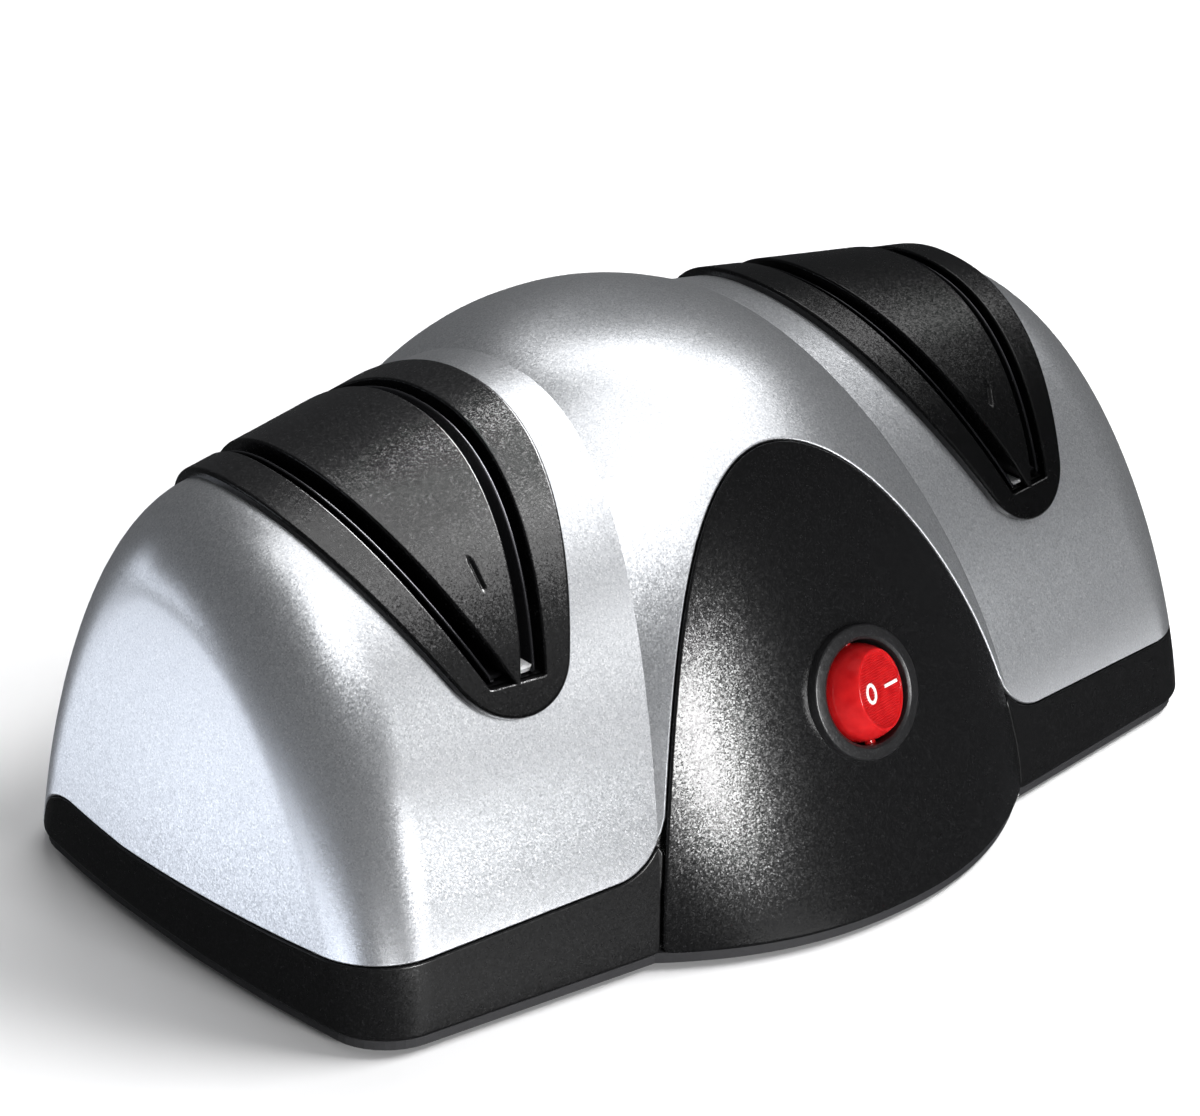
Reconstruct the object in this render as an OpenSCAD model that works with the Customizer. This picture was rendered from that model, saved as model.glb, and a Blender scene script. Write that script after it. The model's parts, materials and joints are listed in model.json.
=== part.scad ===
// Electric two-stage bench sharpener: moulded housing with a central dome,
// two slanted slots left and right, a round rocker switch and an inner
// motor with one abrasive wheel per stage.  Millimetres, +Z up, front at -Y,
// X along the length, origin at the middle of the footprint on the table.

/* [Body] */

// half length of the housing at the table
half_length = 102.8; // [102:0.1:104]
// half depth of the wing at its end, in front of the ridge
wing_depth = 57.3; // [56.5:0.1:58]
// height of the wing ridge at its end
wing_height = 70.2; // [69.5:0.1:71]
// half depth of the dome in front of the ridge
dome_depth = 78.5; // [78:0.1:79]
// height of the dome
dome_height = 84.5; // [84:0.1:85.5]
// wall thickness of the moulded shells
wall = 2.4; // [2.2:0.1:2.6]
// gap at every seam between moulded pieces
seam = 0.3; // [0.2:0.05:0.4]

/* [Slots] */

// distance of the middle of a stage from the middle of the object
stage_x = 59.4; // [59:0.1:60]
// width of a slot along X
slot_w = 4.45; // [4.2:0.05:4.6]
// height of the lower end of a slot above the band's lower edge
slot_z = 49.3; // [49:0.1:50]
// how far the saddle stands above the wing
saddle_rise = 2; // [1.8:0.1:2.2]
// how far the flange stands above the wing
flange_rise = 1.6; // [1.4:0.1:1.7]

/* [Switch] */

// height of the switch centre above the band's lower edge
switch_z = 35.3; // [35:0.1:36]
// radius of the switch bezel
bezel_r = 11.5; // [11.3:0.1:11.8]
// full rocking angle of the switch
rock_deg = 36; // [30:1:37]
// radius of the rocker's ball-shaped body
rock_r = 8.75; // [8.5:0.05:8.8]

/* [Motor] */

// height of the motor axis above the band's lower edge
axis_z = 38; // [37.8:0.1:38.2]
// radius of an abrasive wheel
wheel_r = 24; // [23.5:0.1:24]
// width of an abrasive wheel
wheel_w = 8; // [7.8:0.1:8.2]
// radius of the motor can
can_r = 19; // [18.8:0.1:19]
// radius of the motor shaft
shaft_r = 2.5; // [2.4:0.1:2.6]

/* [Underside] */

// radius of a rubber foot
foot_r = 6; // [5.5:0.1:6.5]
// travel of a dust shutter
shutter_travel = 22; // [20:1:22]

/* [Hidden] */

$fn = 48;
e = 0.01;

// the band's lower edge lies 3 above the table, the ridge behind the middle
lift = 3;
back_dome = 0.8;      // rear half of the dome against its front half
back_end = 0.66;      // the same for a wing at its end
back_gain = 0.22;     // and how much more it is at the dome
shift_y = dome_depth * (1 - back_dome) / 2;

flare = 0.1192;       // the wings deepen towards the dome
rise = 0.126;         // the ridge rises towards the dome
wing_p = 2.177;
wing_q = 1.538;
dome_p = 2.5;
dome_q = 1.155;
dome_qb = 1.9;        // the dome's rear is fuller
dome_e = 2.2;
fil_r = 9;
fil_r1 = 6;
end_c = 0.0017;
end_d = 0.05;
end_d2 = 0.0008;
crease = [43.3, -0.0633, -0.0021];
tilt = 0.409;         // slope of a slot: X per Z
half_saddle = 0.57;   // half width of the saddle at the slot's lower end
switch_t = 24.7;      // the switch face looks this much upward
dome_w2 = 43;         // half width of the front panel at the table
panel_h = 71.8;       // height of the front panel

switch_y = -dome_depth * pow(1 - pow(switch_z / dome_height, dome_q), 1 / dome_p);

module place() translate([0, shift_y, lift]) children();

function sgn(v) = v < 0 ? -1 : 1;
function half_w(x, o) = wing_depth + flare * (half_length - abs(x)) + o;
function ridge(x, o) = wing_height + rise * (half_length - abs(x)) + o;
function back_k(x) = back_end + back_gain * (half_length - abs(x)) / 60;

// cross-section of a wing: a runs from -90 (front, at the table) to 90 (rear)
function arch(a, x, o) =
  let (w = half_w(x, o), s = sin(a), y = w * sgn(s) * pow(abs(s), 2 / wing_p))
  [y > 0 ? y * back_k(x) : y, ridge(x, o) * pow(max(0, cos(a)), 2 / wing_q)];

// outward normal of that cross-section at the point v
function arch_n(v, x, o) =
  let (w = half_w(x, o) * (v[0] > 0 ? back_k(x) : 1), h = ridge(x, o),
       ny = sgn(v[0]) * wing_p / w * pow(abs(v[0]) / w, wing_p - 1),
       nz = wing_q / h * pow(max(0, v[1]) / h, wing_q - 1),
       l = sqrt(ny * ny + nz * nz))
  [ny / l, nz / l];

function end_x(v, o) = half_length + o - end_c * v[0] * v[0] - end_d * v[1] - end_d2 * v[1] * v[1];
function solve_end(a, sf, o, x, n) =
  n == 0 ? x : solve_end(a, sf, o, end_x(arch(a, x, o), o) - sf, n - 1);

// a point of the rounded end, f from 0 (side) to 90 (end face)
function end_pt(a, f, o) =
  let (rr = fil_r + o * 0.6 + fil_r1 * cos(a), sf = rr * (1 - sin(f)),
       x = solve_end(a, sf, o, half_length - sf, 4), v = arch(a, x, o),
       n = arch_n(v, x, o), g = rr * (1 - cos(f)),
       w = [v[0] - n[0] * g, max(v[1] * 0.02, v[1] - n[1] * g)])
  [end_x(w, o) - sf, w[0], w[1]];

function cap_pt(a, m, o) =
  let (v = end_pt(a, 90, o), w = [v[1] * m, v[2] * m])
  [end_x(w, o), w[0], w[1]];

function solve_crease(a, o, x, n) =
  n == 0 ? x
  : let (z = arch(a, x, o)[1])
    solve_crease(a, o, crease[0] + crease[1] * z + crease[2] * z * z, n - 1);

function wing_pt(a, u, o) =
  let (x0 = end_pt(a, 0, o)[0], x1 = solve_crease(a, o, crease[0], 5),
       x = x0 + (x1 - x0) * u, v = arch(a, x, o))
  [x, v[0], v[1]];

function dome_pt(a, t, o) =
  let (xc = solve_crease(a, o, crease[0], 5), v = arch(a, xc, o), s = sin(a),
       y = (dome_depth + o) * sgn(s) * pow(abs(s), 2 / dome_p),
       y0 = y > 0 ? y * back_dome : y,
       z0 = (dome_height + o) * pow(max(0, cos(a)), 2 / (a > 0 ? dome_qb : dome_q)),
       b = 1 - pow(abs(t), dome_e))
  [xc * t, v[0] + (y0 - v[0]) * b, v[1] + (z0 - v[1]) * b];

function angle_at(i, na) = -90 + 180 * i / na;
function flip(p) = [-p[0], p[1], p[2]];

// half of the rings, from the right end to the right crease
function half_rings(o, na, nf, nw) = concat(
  [for (m = [0.3, 0.65]) [for (i = [0:na]) cap_pt(angle_at(i, na), m, o)]],
  [for (k = [nf:-1:0]) [for (i = [0:na]) end_pt(angle_at(i, na), 90 * k / nf, o)]],
  [for (k = [1:nw]) [for (i = [0:na]) wing_pt(angle_at(i, na), k / nw, o)]]);

function all_rings(o, na, nf, nw, nd) =
  let (h = half_rings(o, na, nf, nw), n = len(h))
  concat(
    h,
    [for (k = [1:nd - 1]) [for (i = [0:na]) dome_pt(angle_at(i, na), 1 - 2 * k / nd, o)]],
    [for (j = [n - 1:-1:0]) [for (v = h[j]) flip(v)]]);

function flat(l) = [for (a = l) for (b = a) b];

// closed body over the table, offset by o
module body(o, na, nf, nw, nd) {
  r = all_rings(o, na, nf, nw, nd);
  n = len(r);
  m = na + 1;
  pts = concat(flat(r), [[half_length + o, 0, 0], [-half_length - o, 0, 0]]);
  skin = [for (j = [0:n - 2]) for (i = [0:na - 1]) each
    (i < na / 2
      ? [[j * m + i, (j + 1) * m + i, (j + 1) * m + i + 1], [j * m + i, (j + 1) * m + i + 1, j * m + i + 1]]
      : [[j * m + i, (j + 1) * m + i, j * m + i + 1], [(j + 1) * m + i, (j + 1) * m + i + 1, j * m + i + 1]])];
  floor_faces = [for (j = [0:n - 2]) each
    [[j * m, j * m + na, (j + 1) * m + na], [j * m, (j + 1) * m + na, (j + 1) * m]]];
  ends = concat(
    [for (i = [0:na - 1]) [n * m, i, i + 1]],
    [[n * m, na, 0]],
    [for (i = [0:na - 1]) [n * m + 1, (n - 1) * m + i + 1, (n - 1) * m + i]],
    [[n * m + 1, (n - 1) * m, (n - 1) * m + na]]);
  polyhedron(points = pts, faces = concat(skin, floor_faces, ends), convexity = 6);
}

module outer(o = 0) body(o, 40, 4, 6, 14);
module inner(o) body(o, 24, 3, 3, 8);

// outline of the whole object on the table, inset by g
function footprint(g) =
  let (r = all_rings(-g, 4, 9, 10, 40))
  concat([for (q = r) [q[0][0], q[0][1]]], [for (j = [len(r) - 1:-1:0]) [r[j][4][0], r[j][4][1]]]);

// a stretch of one wing, offset by o along its normal, from x0 to x1
module wing_block(x0, x1, o, na = 36, nx = 7) {
  m = na + 1;
  pts = [for (j = [0:nx]) for (i = [0:na])
    let (x = x0 + (x1 - x0) * j / nx, v = arch(angle_at(i, na), x, 0), n = arch_n(v, x, 0))
    [x, v[0] + n[0] * o, max(0, v[1] + n[1] * o)]];
  skin = [for (j = [0:nx - 1]) for (i = [0:na - 1]) each
    [[j * m + i, j * m + i + 1, (j + 1) * m + i + 1], [j * m + i, (j + 1) * m + i + 1, (j + 1) * m + i]]];
  floor_faces = [for (j = [0:nx - 1]) each
    [[j * m, (j + 1) * m, (j + 1) * m + na], [j * m, (j + 1) * m + na, j * m + na]]];
  cap0 = [[for (i = [na:-1:0]) i]];
  cap1 = [[for (i = [0:na]) nx * m + i]];
  polyhedron(points = pts, faces = concat(skin, floor_faces, cap0, cap1), convexity = 4);
}

// a profile in the X-Z plane, drawn out along Y from y0 to y1
module along_y(pts, y0, y1)
  translate([0, y1, 0]) rotate([90, 0, 0]) linear_extrude(y1 - y0) polygon(pts);

module along_x(x) translate([x, 0, axis_z]) rotate([0, 90, 0]) children();

// front panel: half width at the height z
function panel_x(z, g) = (dome_w2 + g) * sqrt(max(0, 1 - pow(max(0, z) / (panel_h + g), 1.6)));
function panel_z(k, n, g) = (panel_h + g) * sin(90 * k / n);
function panel_outline(g) =
  let (n = 18)
  concat([[-dome_w2 - g, -5], [dome_w2 + g, -5]],
         [for (k = [0:n]) [panel_x(panel_z(k, n, g), g), panel_z(k, n, g)]],
         [for (k = [n - 1:-1:0]) [-panel_x(panel_z(k, n, g), g), panel_z(k, n, g)]]);
module panel_prism(g) along_y(panel_outline(g), -100, 0);

// slot insert: rounded V outline around the middle of a stage
v_slope = 0.5286;
v_ang = atan(v_slope);
v_low = 43.1;
v_w = 9.9;
v_zc = (v_low - v_slope * cos(v_ang) * slot_z + v_w * cos(v_ang)) / (1 - v_slope * cos(v_ang));
v_r = v_zc - v_low;
function v_outline(g) = concat(
  [for (k = [0:16]) let (t = -180 + v_ang + (180 - 2 * v_ang) * k / 16)
    [stage_x + (v_r + g) * cos(t), v_zc + (v_r + g) * sin(t)]],
  [for (s = [1, -1]) [stage_x + s * (v_w + g / cos(v_ang) + v_slope * (90 - slot_z)), 90]]);

function off_x(a, z) = a + tilt * (z - slot_z);
// one slot on the side s of the stage (1 outward, -1 towards the dome)
module slot_cut(s) along_y([
  [stage_x + s * off_x(half_saddle, slot_z), slot_z],
  [stage_x + s * off_x(half_saddle + slot_w, slot_z), slot_z],
  [stage_x + s * off_x(half_saddle + slot_w, 95), 95],
  [stage_x + s * off_x(half_saddle, 95), 95]], -100, 100);

// height of the band's upper edge over the plan position
function band_front(x) =
  x < 40.75 ? 22.3
  : x < 50.4 ? 24.4 - sqrt(max(0, 96.04 - (50.4 - x) * (50.4 - x)))
  : 14.6 - 0.045 * (x - 50.4);
function band_y(k) = k < 4 ? [-100, -45, 5, 22][k] : k < 10 ? 22 + 12.5 * sin((k - 3) * 14.8) : k == 10 ? 34.75 : 110;
function band_h(x, k) =
  k < 2 ? band_front(x) : k == 2 ? 10.2 : k == 3 ? 10.7
  : k < 10 ? 10.7 * cos((k - 3) * 14.8) : -4;
band_xs = [0, 40.7, 41.1, 41.7, 42.5, 43.6, 45, 47, 50.4, 75, 112];

module band_solid(g) {
  nx = 2 * len(band_xs) - 1;
  xs = [for (i = [0:nx - 1]) i < len(band_xs) - 1 ? -band_xs[len(band_xs) - 1 - i] : band_xs[i - len(band_xs) + 1]];
  ny = 12;
  top = [for (i = [0:nx - 1]) for (k = [0:ny - 1]) [xs[i], band_y(k), band_h(abs(xs[i]), k) + g]];
  low = [for (i = [0:nx - 1]) for (k = [0:ny - 1]) [xs[i], band_y(k), -8]];
  n = nx * ny;
  faces = concat(
    [for (i = [0:nx - 2]) for (k = [0:ny - 2]) let (a = i * ny + k) each
      [[a, a + 1, a + ny + 1], [a, a + ny + 1, a + ny]]],
    [for (i = [0:nx - 2]) for (k = [0:ny - 2]) let (a = n + i * ny + k) each
      [[a, a + ny + 1, a + 1], [a, a + ny, a + ny + 1]]],
    [for (i = [0:nx - 2]) let (a = i * ny) each [[a, a + ny, n + a + ny], [a, n + a + ny, n + a]]],
    [for (i = [0:nx - 2]) let (a = i * ny + ny - 1) each [[a, n + a + ny, a + ny], [a, n + a, n + a + ny]]],
    [for (k = [0:ny - 2]) let (a = k) each [[a, n + a + 1, a + 1], [a, n + a, n + a + 1]]],
    [for (k = [0:ny - 2]) let (a = (nx - 1) * ny + k) each [[a, a + 1, n + a + 1], [a, n + a + 1, n + a]]]);
  polyhedron(points = concat(top, low), faces = faces, convexity = 6);
}

module slab(z0, z1) translate([-150, -150, z0]) cube([300, 300, z1 - z0]);

// frame of the switch: local Z looks out of the panel, local Y up along it
module on_switch() translate([0, switch_y, switch_z]) rotate([90 - switch_t, 0, 0]) children();

// gland on the rear wall of the dome
gland_t = 7.5;
gland_z = 16;
gland_y = back_dome * dome_depth * pow(1 - pow(gland_z / dome_height, dome_qb), 1 / dome_p);
module on_gland() translate([0, gland_y, gland_z]) rotate([-90 + gland_t, 0, 0]) children();

screw_pos = [[46, -54], [-46, -54], [44, 40], [-44, 40], [90, -40], [-90, -40], [90, 26], [-90, 26]];
foot_pos = [[74, -46], [-74, -46], [74, 31], [-74, 31]];

// ------------------------------------------------------------------ housing

module upper_shell() color([0.78, 0.8, 0.83]) place() {
  difference() {
    resize([0, 0, 0]) difference() {
      union() {
        difference() {
          outer();
          inner(-wall);
        }
        intersection() {
          outer(-0.8);
          union() for (p = screw_pos) translate([p[0], p[1], 14.4]) cylinder(r = 4, h = 80, $fn = 24);
        }
        intersection() {
          outer();
          on_gland() translate([0, 0, -3.6]) cylinder(r = 8.6, h = 6, $fn = 40);
        }
      }
      band_solid(seam / 2);
      panel_prism(seam / 2);
      for (s = [1, -1]) scale([s, 1, 1]) along_y(v_outline(0.15), -100, 100);
      on_gland() translate([0, 0, -0.3]) cylinder(r = 7.4, h = 9, $fn = 40);
    }
    for (p = screw_pos) translate([p[0], p[1], 0]) cylinder(r = 1.52, h = 30);
    on_gland() translate([0, 0, -20]) cylinder(r = 5.6, h = 40);
  }
}

module base_tray() color([0.09, 0.09, 0.1]) place() {
  difference() {
    union() {
      resize([0, 0, 0]) union() {
        difference() {
          intersection() {
            outer();
            band_solid(-seam / 2);
          }
          intersection() {
            inner(-wall);
            slab(wall, 60);
          }
          panel_prism(seam / 2);
        }
        intersection() {
          inner(-wall - 0.35);
          slab(0, wall);
        }
      }
      // posts under the screw bosses of the shell
      for (p = screw_pos) translate([p[0], p[1], wall - 1]) cylinder(r = 3.6, h = 14.1 - wall + 1);
      // two cradles carrying the motor
      for (s = [1, -1]) translate([s * 18 - 2.5, -29, wall - 1]) cube([5, 58, axis_z - 2.2 - wall + 1]);
      // brackets behind the lower edge of the panel
      for (s = [1, -1]) translate([s * 26 - 5, -61.6, wall - 1]) cube([10, 2.6, 16]);
      // guides holding the power board
      for (s = [1, -1]) translate([s * 29.5 - 3, 33.5, wall - 1]) cube([6, 6.2, 25]);
    }
    for (p = screw_pos) translate([p[0], p[1], -1]) cylinder(r = 1.65, h = 20);
    along_x(-40) cylinder(r = can_r + 0.1, h = 80);
    for (s = [1, -1], q = [1, -1]) translate([s * 18, q * 25, axis_z - 20]) cylinder(r = 1.27, h = 25);
    for (s = [1, -1]) translate([s * 26, -64, 12]) rotate([-90, 0, 0]) cylinder(r = 1.35, h = 10);
    // slots for the board
    for (s = [1, -1]) translate([s * 27.8 - 2.8, 35.7, 5]) cube([5.6, 1.8, 40]);
    // dust outlets below the wheels and vents below the motor
    for (s = [1, -1]) translate([s * (stage_x - 0) - 11, -8, -1]) cube([22, 16, wall + 2]);
    for (k = [-2:2]) translate([-9, k * 8 - 1.5, -1]) cube([18, 3, wall + 2]);
    // cable pass between the cradles stays open below the can
    for (s = [1, -1]) translate([s * 18 - 5, -8, wall + 3]) cube([10, 16, 14]);
    for (p = foot_pos) translate([p[0], p[1], -1]) cylinder(r = 2.2, h = wall + 2);
  }
}

module bottom_plate() color([0.3, 0.31, 0.33]) place() {
  difference() {
    translate([0, 0, -2]) linear_extrude(2 - e) polygon(footprint(1));
    for (p = screw_pos) translate([p[0], p[1], 0]) {
      translate([0, 0, -3]) cylinder(r = 1.65, h = 5);
      translate([0, 0, -3]) cylinder(r = 3.1, h = 2.4);
    }
    for (p = foot_pos) translate([p[0], p[1], 0]) {
      translate([0, 0, -3]) cylinder(r = 2.2, h = 5);
      translate([0, 0, -3]) cylinder(r = foot_r + 0.1, h = 1.8);
    }
    // runs and windows of the two dust shutters
    for (s = [1, -1]) scale([s, 1, 1]) {
      translate([stage_x - 13.3 - shutter_travel, -10.3, -1.3]) cube([26.6 + shutter_travel, 20.6, 3]);
      translate([stage_x - 16.4, -8, -3]) cube([27.6, 16, 5]);
    }
    for (k = [-2:2]) translate([-9, k * 8 - 1.5, -3]) cube([18, 3, 5]);
  }
}

module front_panel() color([0.08, 0.08, 0.09]) place() {
  difference() {
    union() {
      resize([0, 0, 0]) difference() {
        intersection() {
          union() {
            difference() {
              outer();
              inner(-wall);
            }
            intersection() {
              outer(0.2);
              on_switch() translate([0, 0, -4]) cylinder(r = 12.6, h = 4, $fn = 48);
            }
          }
          panel_prism(-seam / 2);
        }
        on_switch() cylinder(r = 12.6, h = 6, $fn = 48);
      }
      // screw posts, ending inside the wall
      for (s = [1, -1]) translate([s * 26, -67.2, 12]) rotate([-90, 0, 0]) cylinder(r = 3, h = 5.3);
      for (s = [1, -1]) translate([s * 26 - 3 - s * 1.5, -69, 10.6]) cube([6, 4, 2.8]);
    }
    on_switch() translate([0, 0, -20]) cylinder(r = 10.25, h = 40);
    for (s = [1, -1]) translate([s * 26, -66.6, 12]) rotate([-90, 0, 0]) cylinder(r = 1.27, h = 10);
  }
}

// ------------------------------------------------------------------- stages

module slot_insert() {
  union() {
    resize([0, 0, 0]) difference() {
      union() {
        intersection() {
          difference() {
            wing_block(26, 92, flange_rise);
            wing_block(24, 94, -1);
          }
          along_y(v_outline(-0.05), -100, 100);
        }
        intersection() {
          wing_block(26, 92, flange_rise);
          along_y([for (q = [[-1, slot_z - 2], [1, slot_z - 2], [1, 92], [-1, 92]])
            [stage_x + q[0] * off_x(half_saddle + slot_w + 1.7, q[1]), q[1]]], -100, 100);
        }
        intersection() {
          wing_block(26, 92, saddle_rise);
          along_y([for (q = [[-1, slot_z - 1], [1, slot_z - 1], [1, 92], [-1, 92]])
            [stage_x + q[0] * off_x(half_saddle + 0.6, q[1]), q[1]]], -100, 100);
        }
      }
      slot_cut(1);
      slot_cut(-1);
      // the saddle is hollow below its crown
      intersection() {
        wing_block(24, 94, -1);
        along_y([for (q = [[-1, slot_z + 7], [1, slot_z + 7], [1, 92], [-1, 92]])
          [stage_x + q[0] * off_x(half_saddle - 1.7, q[1]), q[1]]], -100, 100);
      }
      along_x(stage_x - wheel_w / 2 - 0.8) cylinder(r = wheel_r + 1.2, h = wheel_w + 1.6, $fn = 96);
    }
  }
}

module slot_insert_right() color([0.08, 0.08, 0.09]) place() slot_insert();
module slot_insert_left() color([0.08, 0.08, 0.09]) place() mirror([1, 0, 0]) slot_insert();

// spring plate standing in a slot, s = 1 in the outer slot, -1 in the inner one;
// its two feet are bent towards the saddle
guide_t = 0.7;
guide_off = half_saddle + 2.6;
guide_drop = 1.1;     // its upper edge lies this much below the saddle
module guide(s) {
  difference() {
    resize([0, 0, 0]) intersection() {
      wing_block(26, 92, saddle_rise - guide_drop, 30, 5);
      union() {
        along_y([for (q = [[slot_z + 0.45, 0], [slot_z + 0.45, guide_t], [92, guide_t], [92, 0]])
          [stage_x + s * off_x(guide_off + q[1], q[0]), q[0]]], -100, 100);
        for (y = [[-60, -39.5], [28.5, 60]])
          along_y([for (q = [[slot_z + 0.45, -2.2], [slot_z + 0.45, 0.3], [slot_z + 1.15, 0.3], [slot_z + 1.15, -2.2]])
            [stage_x + s * off_x(guide_off + q[1], q[0]), q[0]]], y[0], y[1]);
      }
    }
    along_x(stage_x - 16) cylinder(r = wheel_r + 1.2, h = 32, $fn = 96);
  }
}
module guide_right_outer() color([0.75, 0.76, 0.78]) place() guide(1);
module guide_right_inner() color([0.75, 0.76, 0.78]) place() guide(-1);
module guide_left_outer() color([0.75, 0.76, 0.78]) place() mirror([1, 0, 0]) guide(1);
module guide_left_inner() color([0.75, 0.76, 0.78]) place() mirror([1, 0, 0]) guide(-1);

module wheel() along_x(stage_x) rotate_extrude($fn = 96)
  polygon([[6, -wheel_w / 2], [16, -wheel_w / 2], [wheel_r - 0.6, -wheel_w / 2 + 0.8], [wheel_r, -wheel_w / 2 + 1.4],
           [wheel_r, wheel_w / 2 - 1.4], [wheel_r - 0.6, wheel_w / 2 - 0.8], [16, wheel_w / 2], [6, wheel_w / 2]]);
module wheel_right() color([0.62, 0.6, 0.56]) place() wheel();
module wheel_left() color([0.62, 0.6, 0.56]) place() mirror([1, 0, 0]) wheel();

module hub() along_x(stage_x) rotate_extrude()
  polygon([[shaft_r + 0.02, -wheel_w / 2 - 5], [7, -wheel_w / 2 - 5], [7, -wheel_w / 2 - 2], [9, -wheel_w / 2 - 2],
           [9, -wheel_w / 2 - 0.02], [5.98, -wheel_w / 2 - 0.02], [5.98, wheel_w / 2 - 0.1], [shaft_r + 0.02, wheel_w / 2 - 0.1]]);
module hub_right() color([0.8, 0.8, 0.82]) place() hub();
module hub_left() color([0.8, 0.8, 0.82]) place() mirror([1, 0, 0]) hub();

module wheel_washers() color([0.7, 0.7, 0.72]) place() for (s = [1, -1]) scale([s, 1, 1])
  along_x(stage_x + wheel_w / 2 + 0.02) difference() {
    cylinder(r = 8.5, h = 1);
    translate([0, 0, -1]) cylinder(r = shaft_r + 0.02, h = 3);
  }
module wheel_nuts() color([0.72, 0.7, 0.62]) place() for (s = [1, -1]) scale([s, 1, 1])
  along_x(stage_x + wheel_w / 2 + 1.04) difference() {
    cylinder(r = 4.6, h = 4, $fn = 6);
    translate([0, 0, -1]) cylinder(r = shaft_r + 0.02, h = 6);
  }

// -------------------------------------------------------------------- motor

module motor_shaft() color([0.75, 0.76, 0.78]) place()
  along_x(-stage_x - wheel_w / 2 - 7.5) cylinder(r = shaft_r, h = 2 * (stage_x + wheel_w / 2 + 7.5));

module motor_can() color([0.55, 0.56, 0.58]) place()
  along_x(-27) difference() {
    cylinder(r = can_r, h = 54);
    translate([0, 0, -1]) cylinder(r = can_r - 1.2, h = 56);
    for (a = [0, 180]) rotate([0, 0, a]) translate([-3, -can_r - 2, 40]) cube([6, 5, 8]);
  }

module bell() along_x(27.02) difference() {
  union() {
    cylinder(r = can_r, h = 1.8);
    cylinder(r = 8, h = 7);
  }
  translate([0, 0, -1]) cylinder(r = shaft_r + 0.6, h = 12);
  translate([0, 0, 1.2]) cylinder(r = 5.5, h = 8);
  for (a = [0, 90, 180, 270]) rotate([0, 0, a + 45]) translate([13, 0, -1]) cylinder(r = 1.6, h = 4);
}
module motor_bell_right() color([0.6, 0.61, 0.63]) place() bell();
module motor_bell_left() color([0.6, 0.61, 0.63]) place() mirror([1, 0, 0]) bell();

module bearing() along_x(28.3) difference() {
  cylinder(r = 5.48, h = 5.6);
  translate([0, 0, -1]) cylinder(r = shaft_r + 0.05, h = 8);
}
module bearing_right() color([0.72, 0.55, 0.3]) place() bearing();
module bearing_left() color([0.72, 0.55, 0.3]) place() mirror([1, 0, 0]) bearing();

module motor_magnets() color([0.2, 0.2, 0.22]) place()
  along_x(-14) for (q = [0, 180]) rotate([0, 0, q]) difference() {
    cylinder(r = can_r - 1.22, h = 28);
    translate([0, 0, -1]) cylinder(r = 14.9, h = 30);
    translate([-30, -60, -1]) cube([60, 65, 30]);
  }

module rotor_core() color([0.5, 0.5, 0.52]) place()
  along_x(-12) difference() {
    cylinder(r = 14.5, h = 24);
    translate([0, 0, -1]) cylinder(r = shaft_r + 0.02, h = 26);
    for (k = [0:4]) rotate([0, 0, 72 * k]) {
      translate([6.5, -2.6, -1]) cube([6.4, 5.2, 26]);
      translate([12, -0.7, -1]) cube([5, 1.4, 26]);
    }
  }

module rotor_windings() color([0.75, 0.4, 0.2]) place() {
  for (x = [-17.05, 12.05]) along_x(x) difference() {
    cylinder(r = 12.6, h = 5);
    translate([0, 0, -1]) cylinder(r = 6, h = 7);
  }
}

module commutator() color([0.8, 0.5, 0.25]) place()
  along_x(18.2) difference() {
    cylinder(r = 5, h = 7);
    translate([0, 0, -1]) cylinder(r = shaft_r + 0.02, h = 9);
    for (k = [0:4]) rotate([0, 0, 72 * k]) translate([4, -0.25, -1]) cube([3, 0.5, 9]);
  }

module brushes() color([0.15, 0.15, 0.16]) place()
  for (q = [1, -1]) scale([1, q, 1]) translate([20, 5.35, axis_z - 1.8]) cube([3.6, 7, 3.6]);
module brush_holders() color([0.7, 0.6, 0.35]) place()
  for (q = [1, -1]) scale([1, q, 1]) difference() {
    translate([19.2, 6.4, axis_z - 2.6]) cube([7.7, 7.2, 5.2]);
    translate([19.95, 5, axis_z - 1.85]) cube([3.7, 7.5, 3.7]);
  }

module motor_clamps() color([0.6, 0.61, 0.63]) place()
  for (s = [1, -1]) difference() {
    union() {
      along_x(s * 18 - 2.5) cylinder(r = can_r + 2.1, h = 5);
      translate([s * 18 - 2.5, -29, axis_z - 2]) cube([5, 58, 2]);
    }
    along_x(s * 18 - 4) cylinder(r = can_r + 0.1, h = 8);
    translate([s * 18 - 5, -40, axis_z - 42]) cube([10, 80, 40]);
    for (q = [1, -1]) translate([s * 18, q * 25, axis_z - 4]) cylinder(r = 1.4, h = 8);
  }

module screw(r, l, hr, hh) {
  translate([0, 0, -e]) cylinder(r = r, h = l + e);
  difference() {
    translate([0, 0, -hh]) cylinder(r = hr, h = hh);
    for (a = [0, 90]) rotate([0, 0, a]) translate([-hr * 0.6, -0.3, -hh - 1]) cube([hr * 1.2, 0.6, 1.6]);
  }
}

module clamp_screws() color([0.7, 0.7, 0.72]) place()
  for (s = [1, -1], q = [1, -1]) translate([s * 18, q * 25, axis_z + 0.02]) mirror([0, 0, 1]) screw(1.25, 14, 2.3, 1.6);

module housing_screws() color([0.7, 0.7, 0.72]) place()
  for (p = screw_pos) translate([p[0], p[1], -0.62]) screw(1.5, 27, 2.9, 1.3);

module panel_screws() color([0.7, 0.7, 0.72]) place()
  for (s = [1, -1]) translate([s * 26, -58.98, 12]) rotate([90, 0, 0]) screw(1.25, 7.4, 2.3, 1.6);

// ------------------------------------------------------------------- switch

// height of the rocker's pins over the panel, and of its face over the pins
rock_z = -1.4;
rock_h = 4.9;

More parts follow.
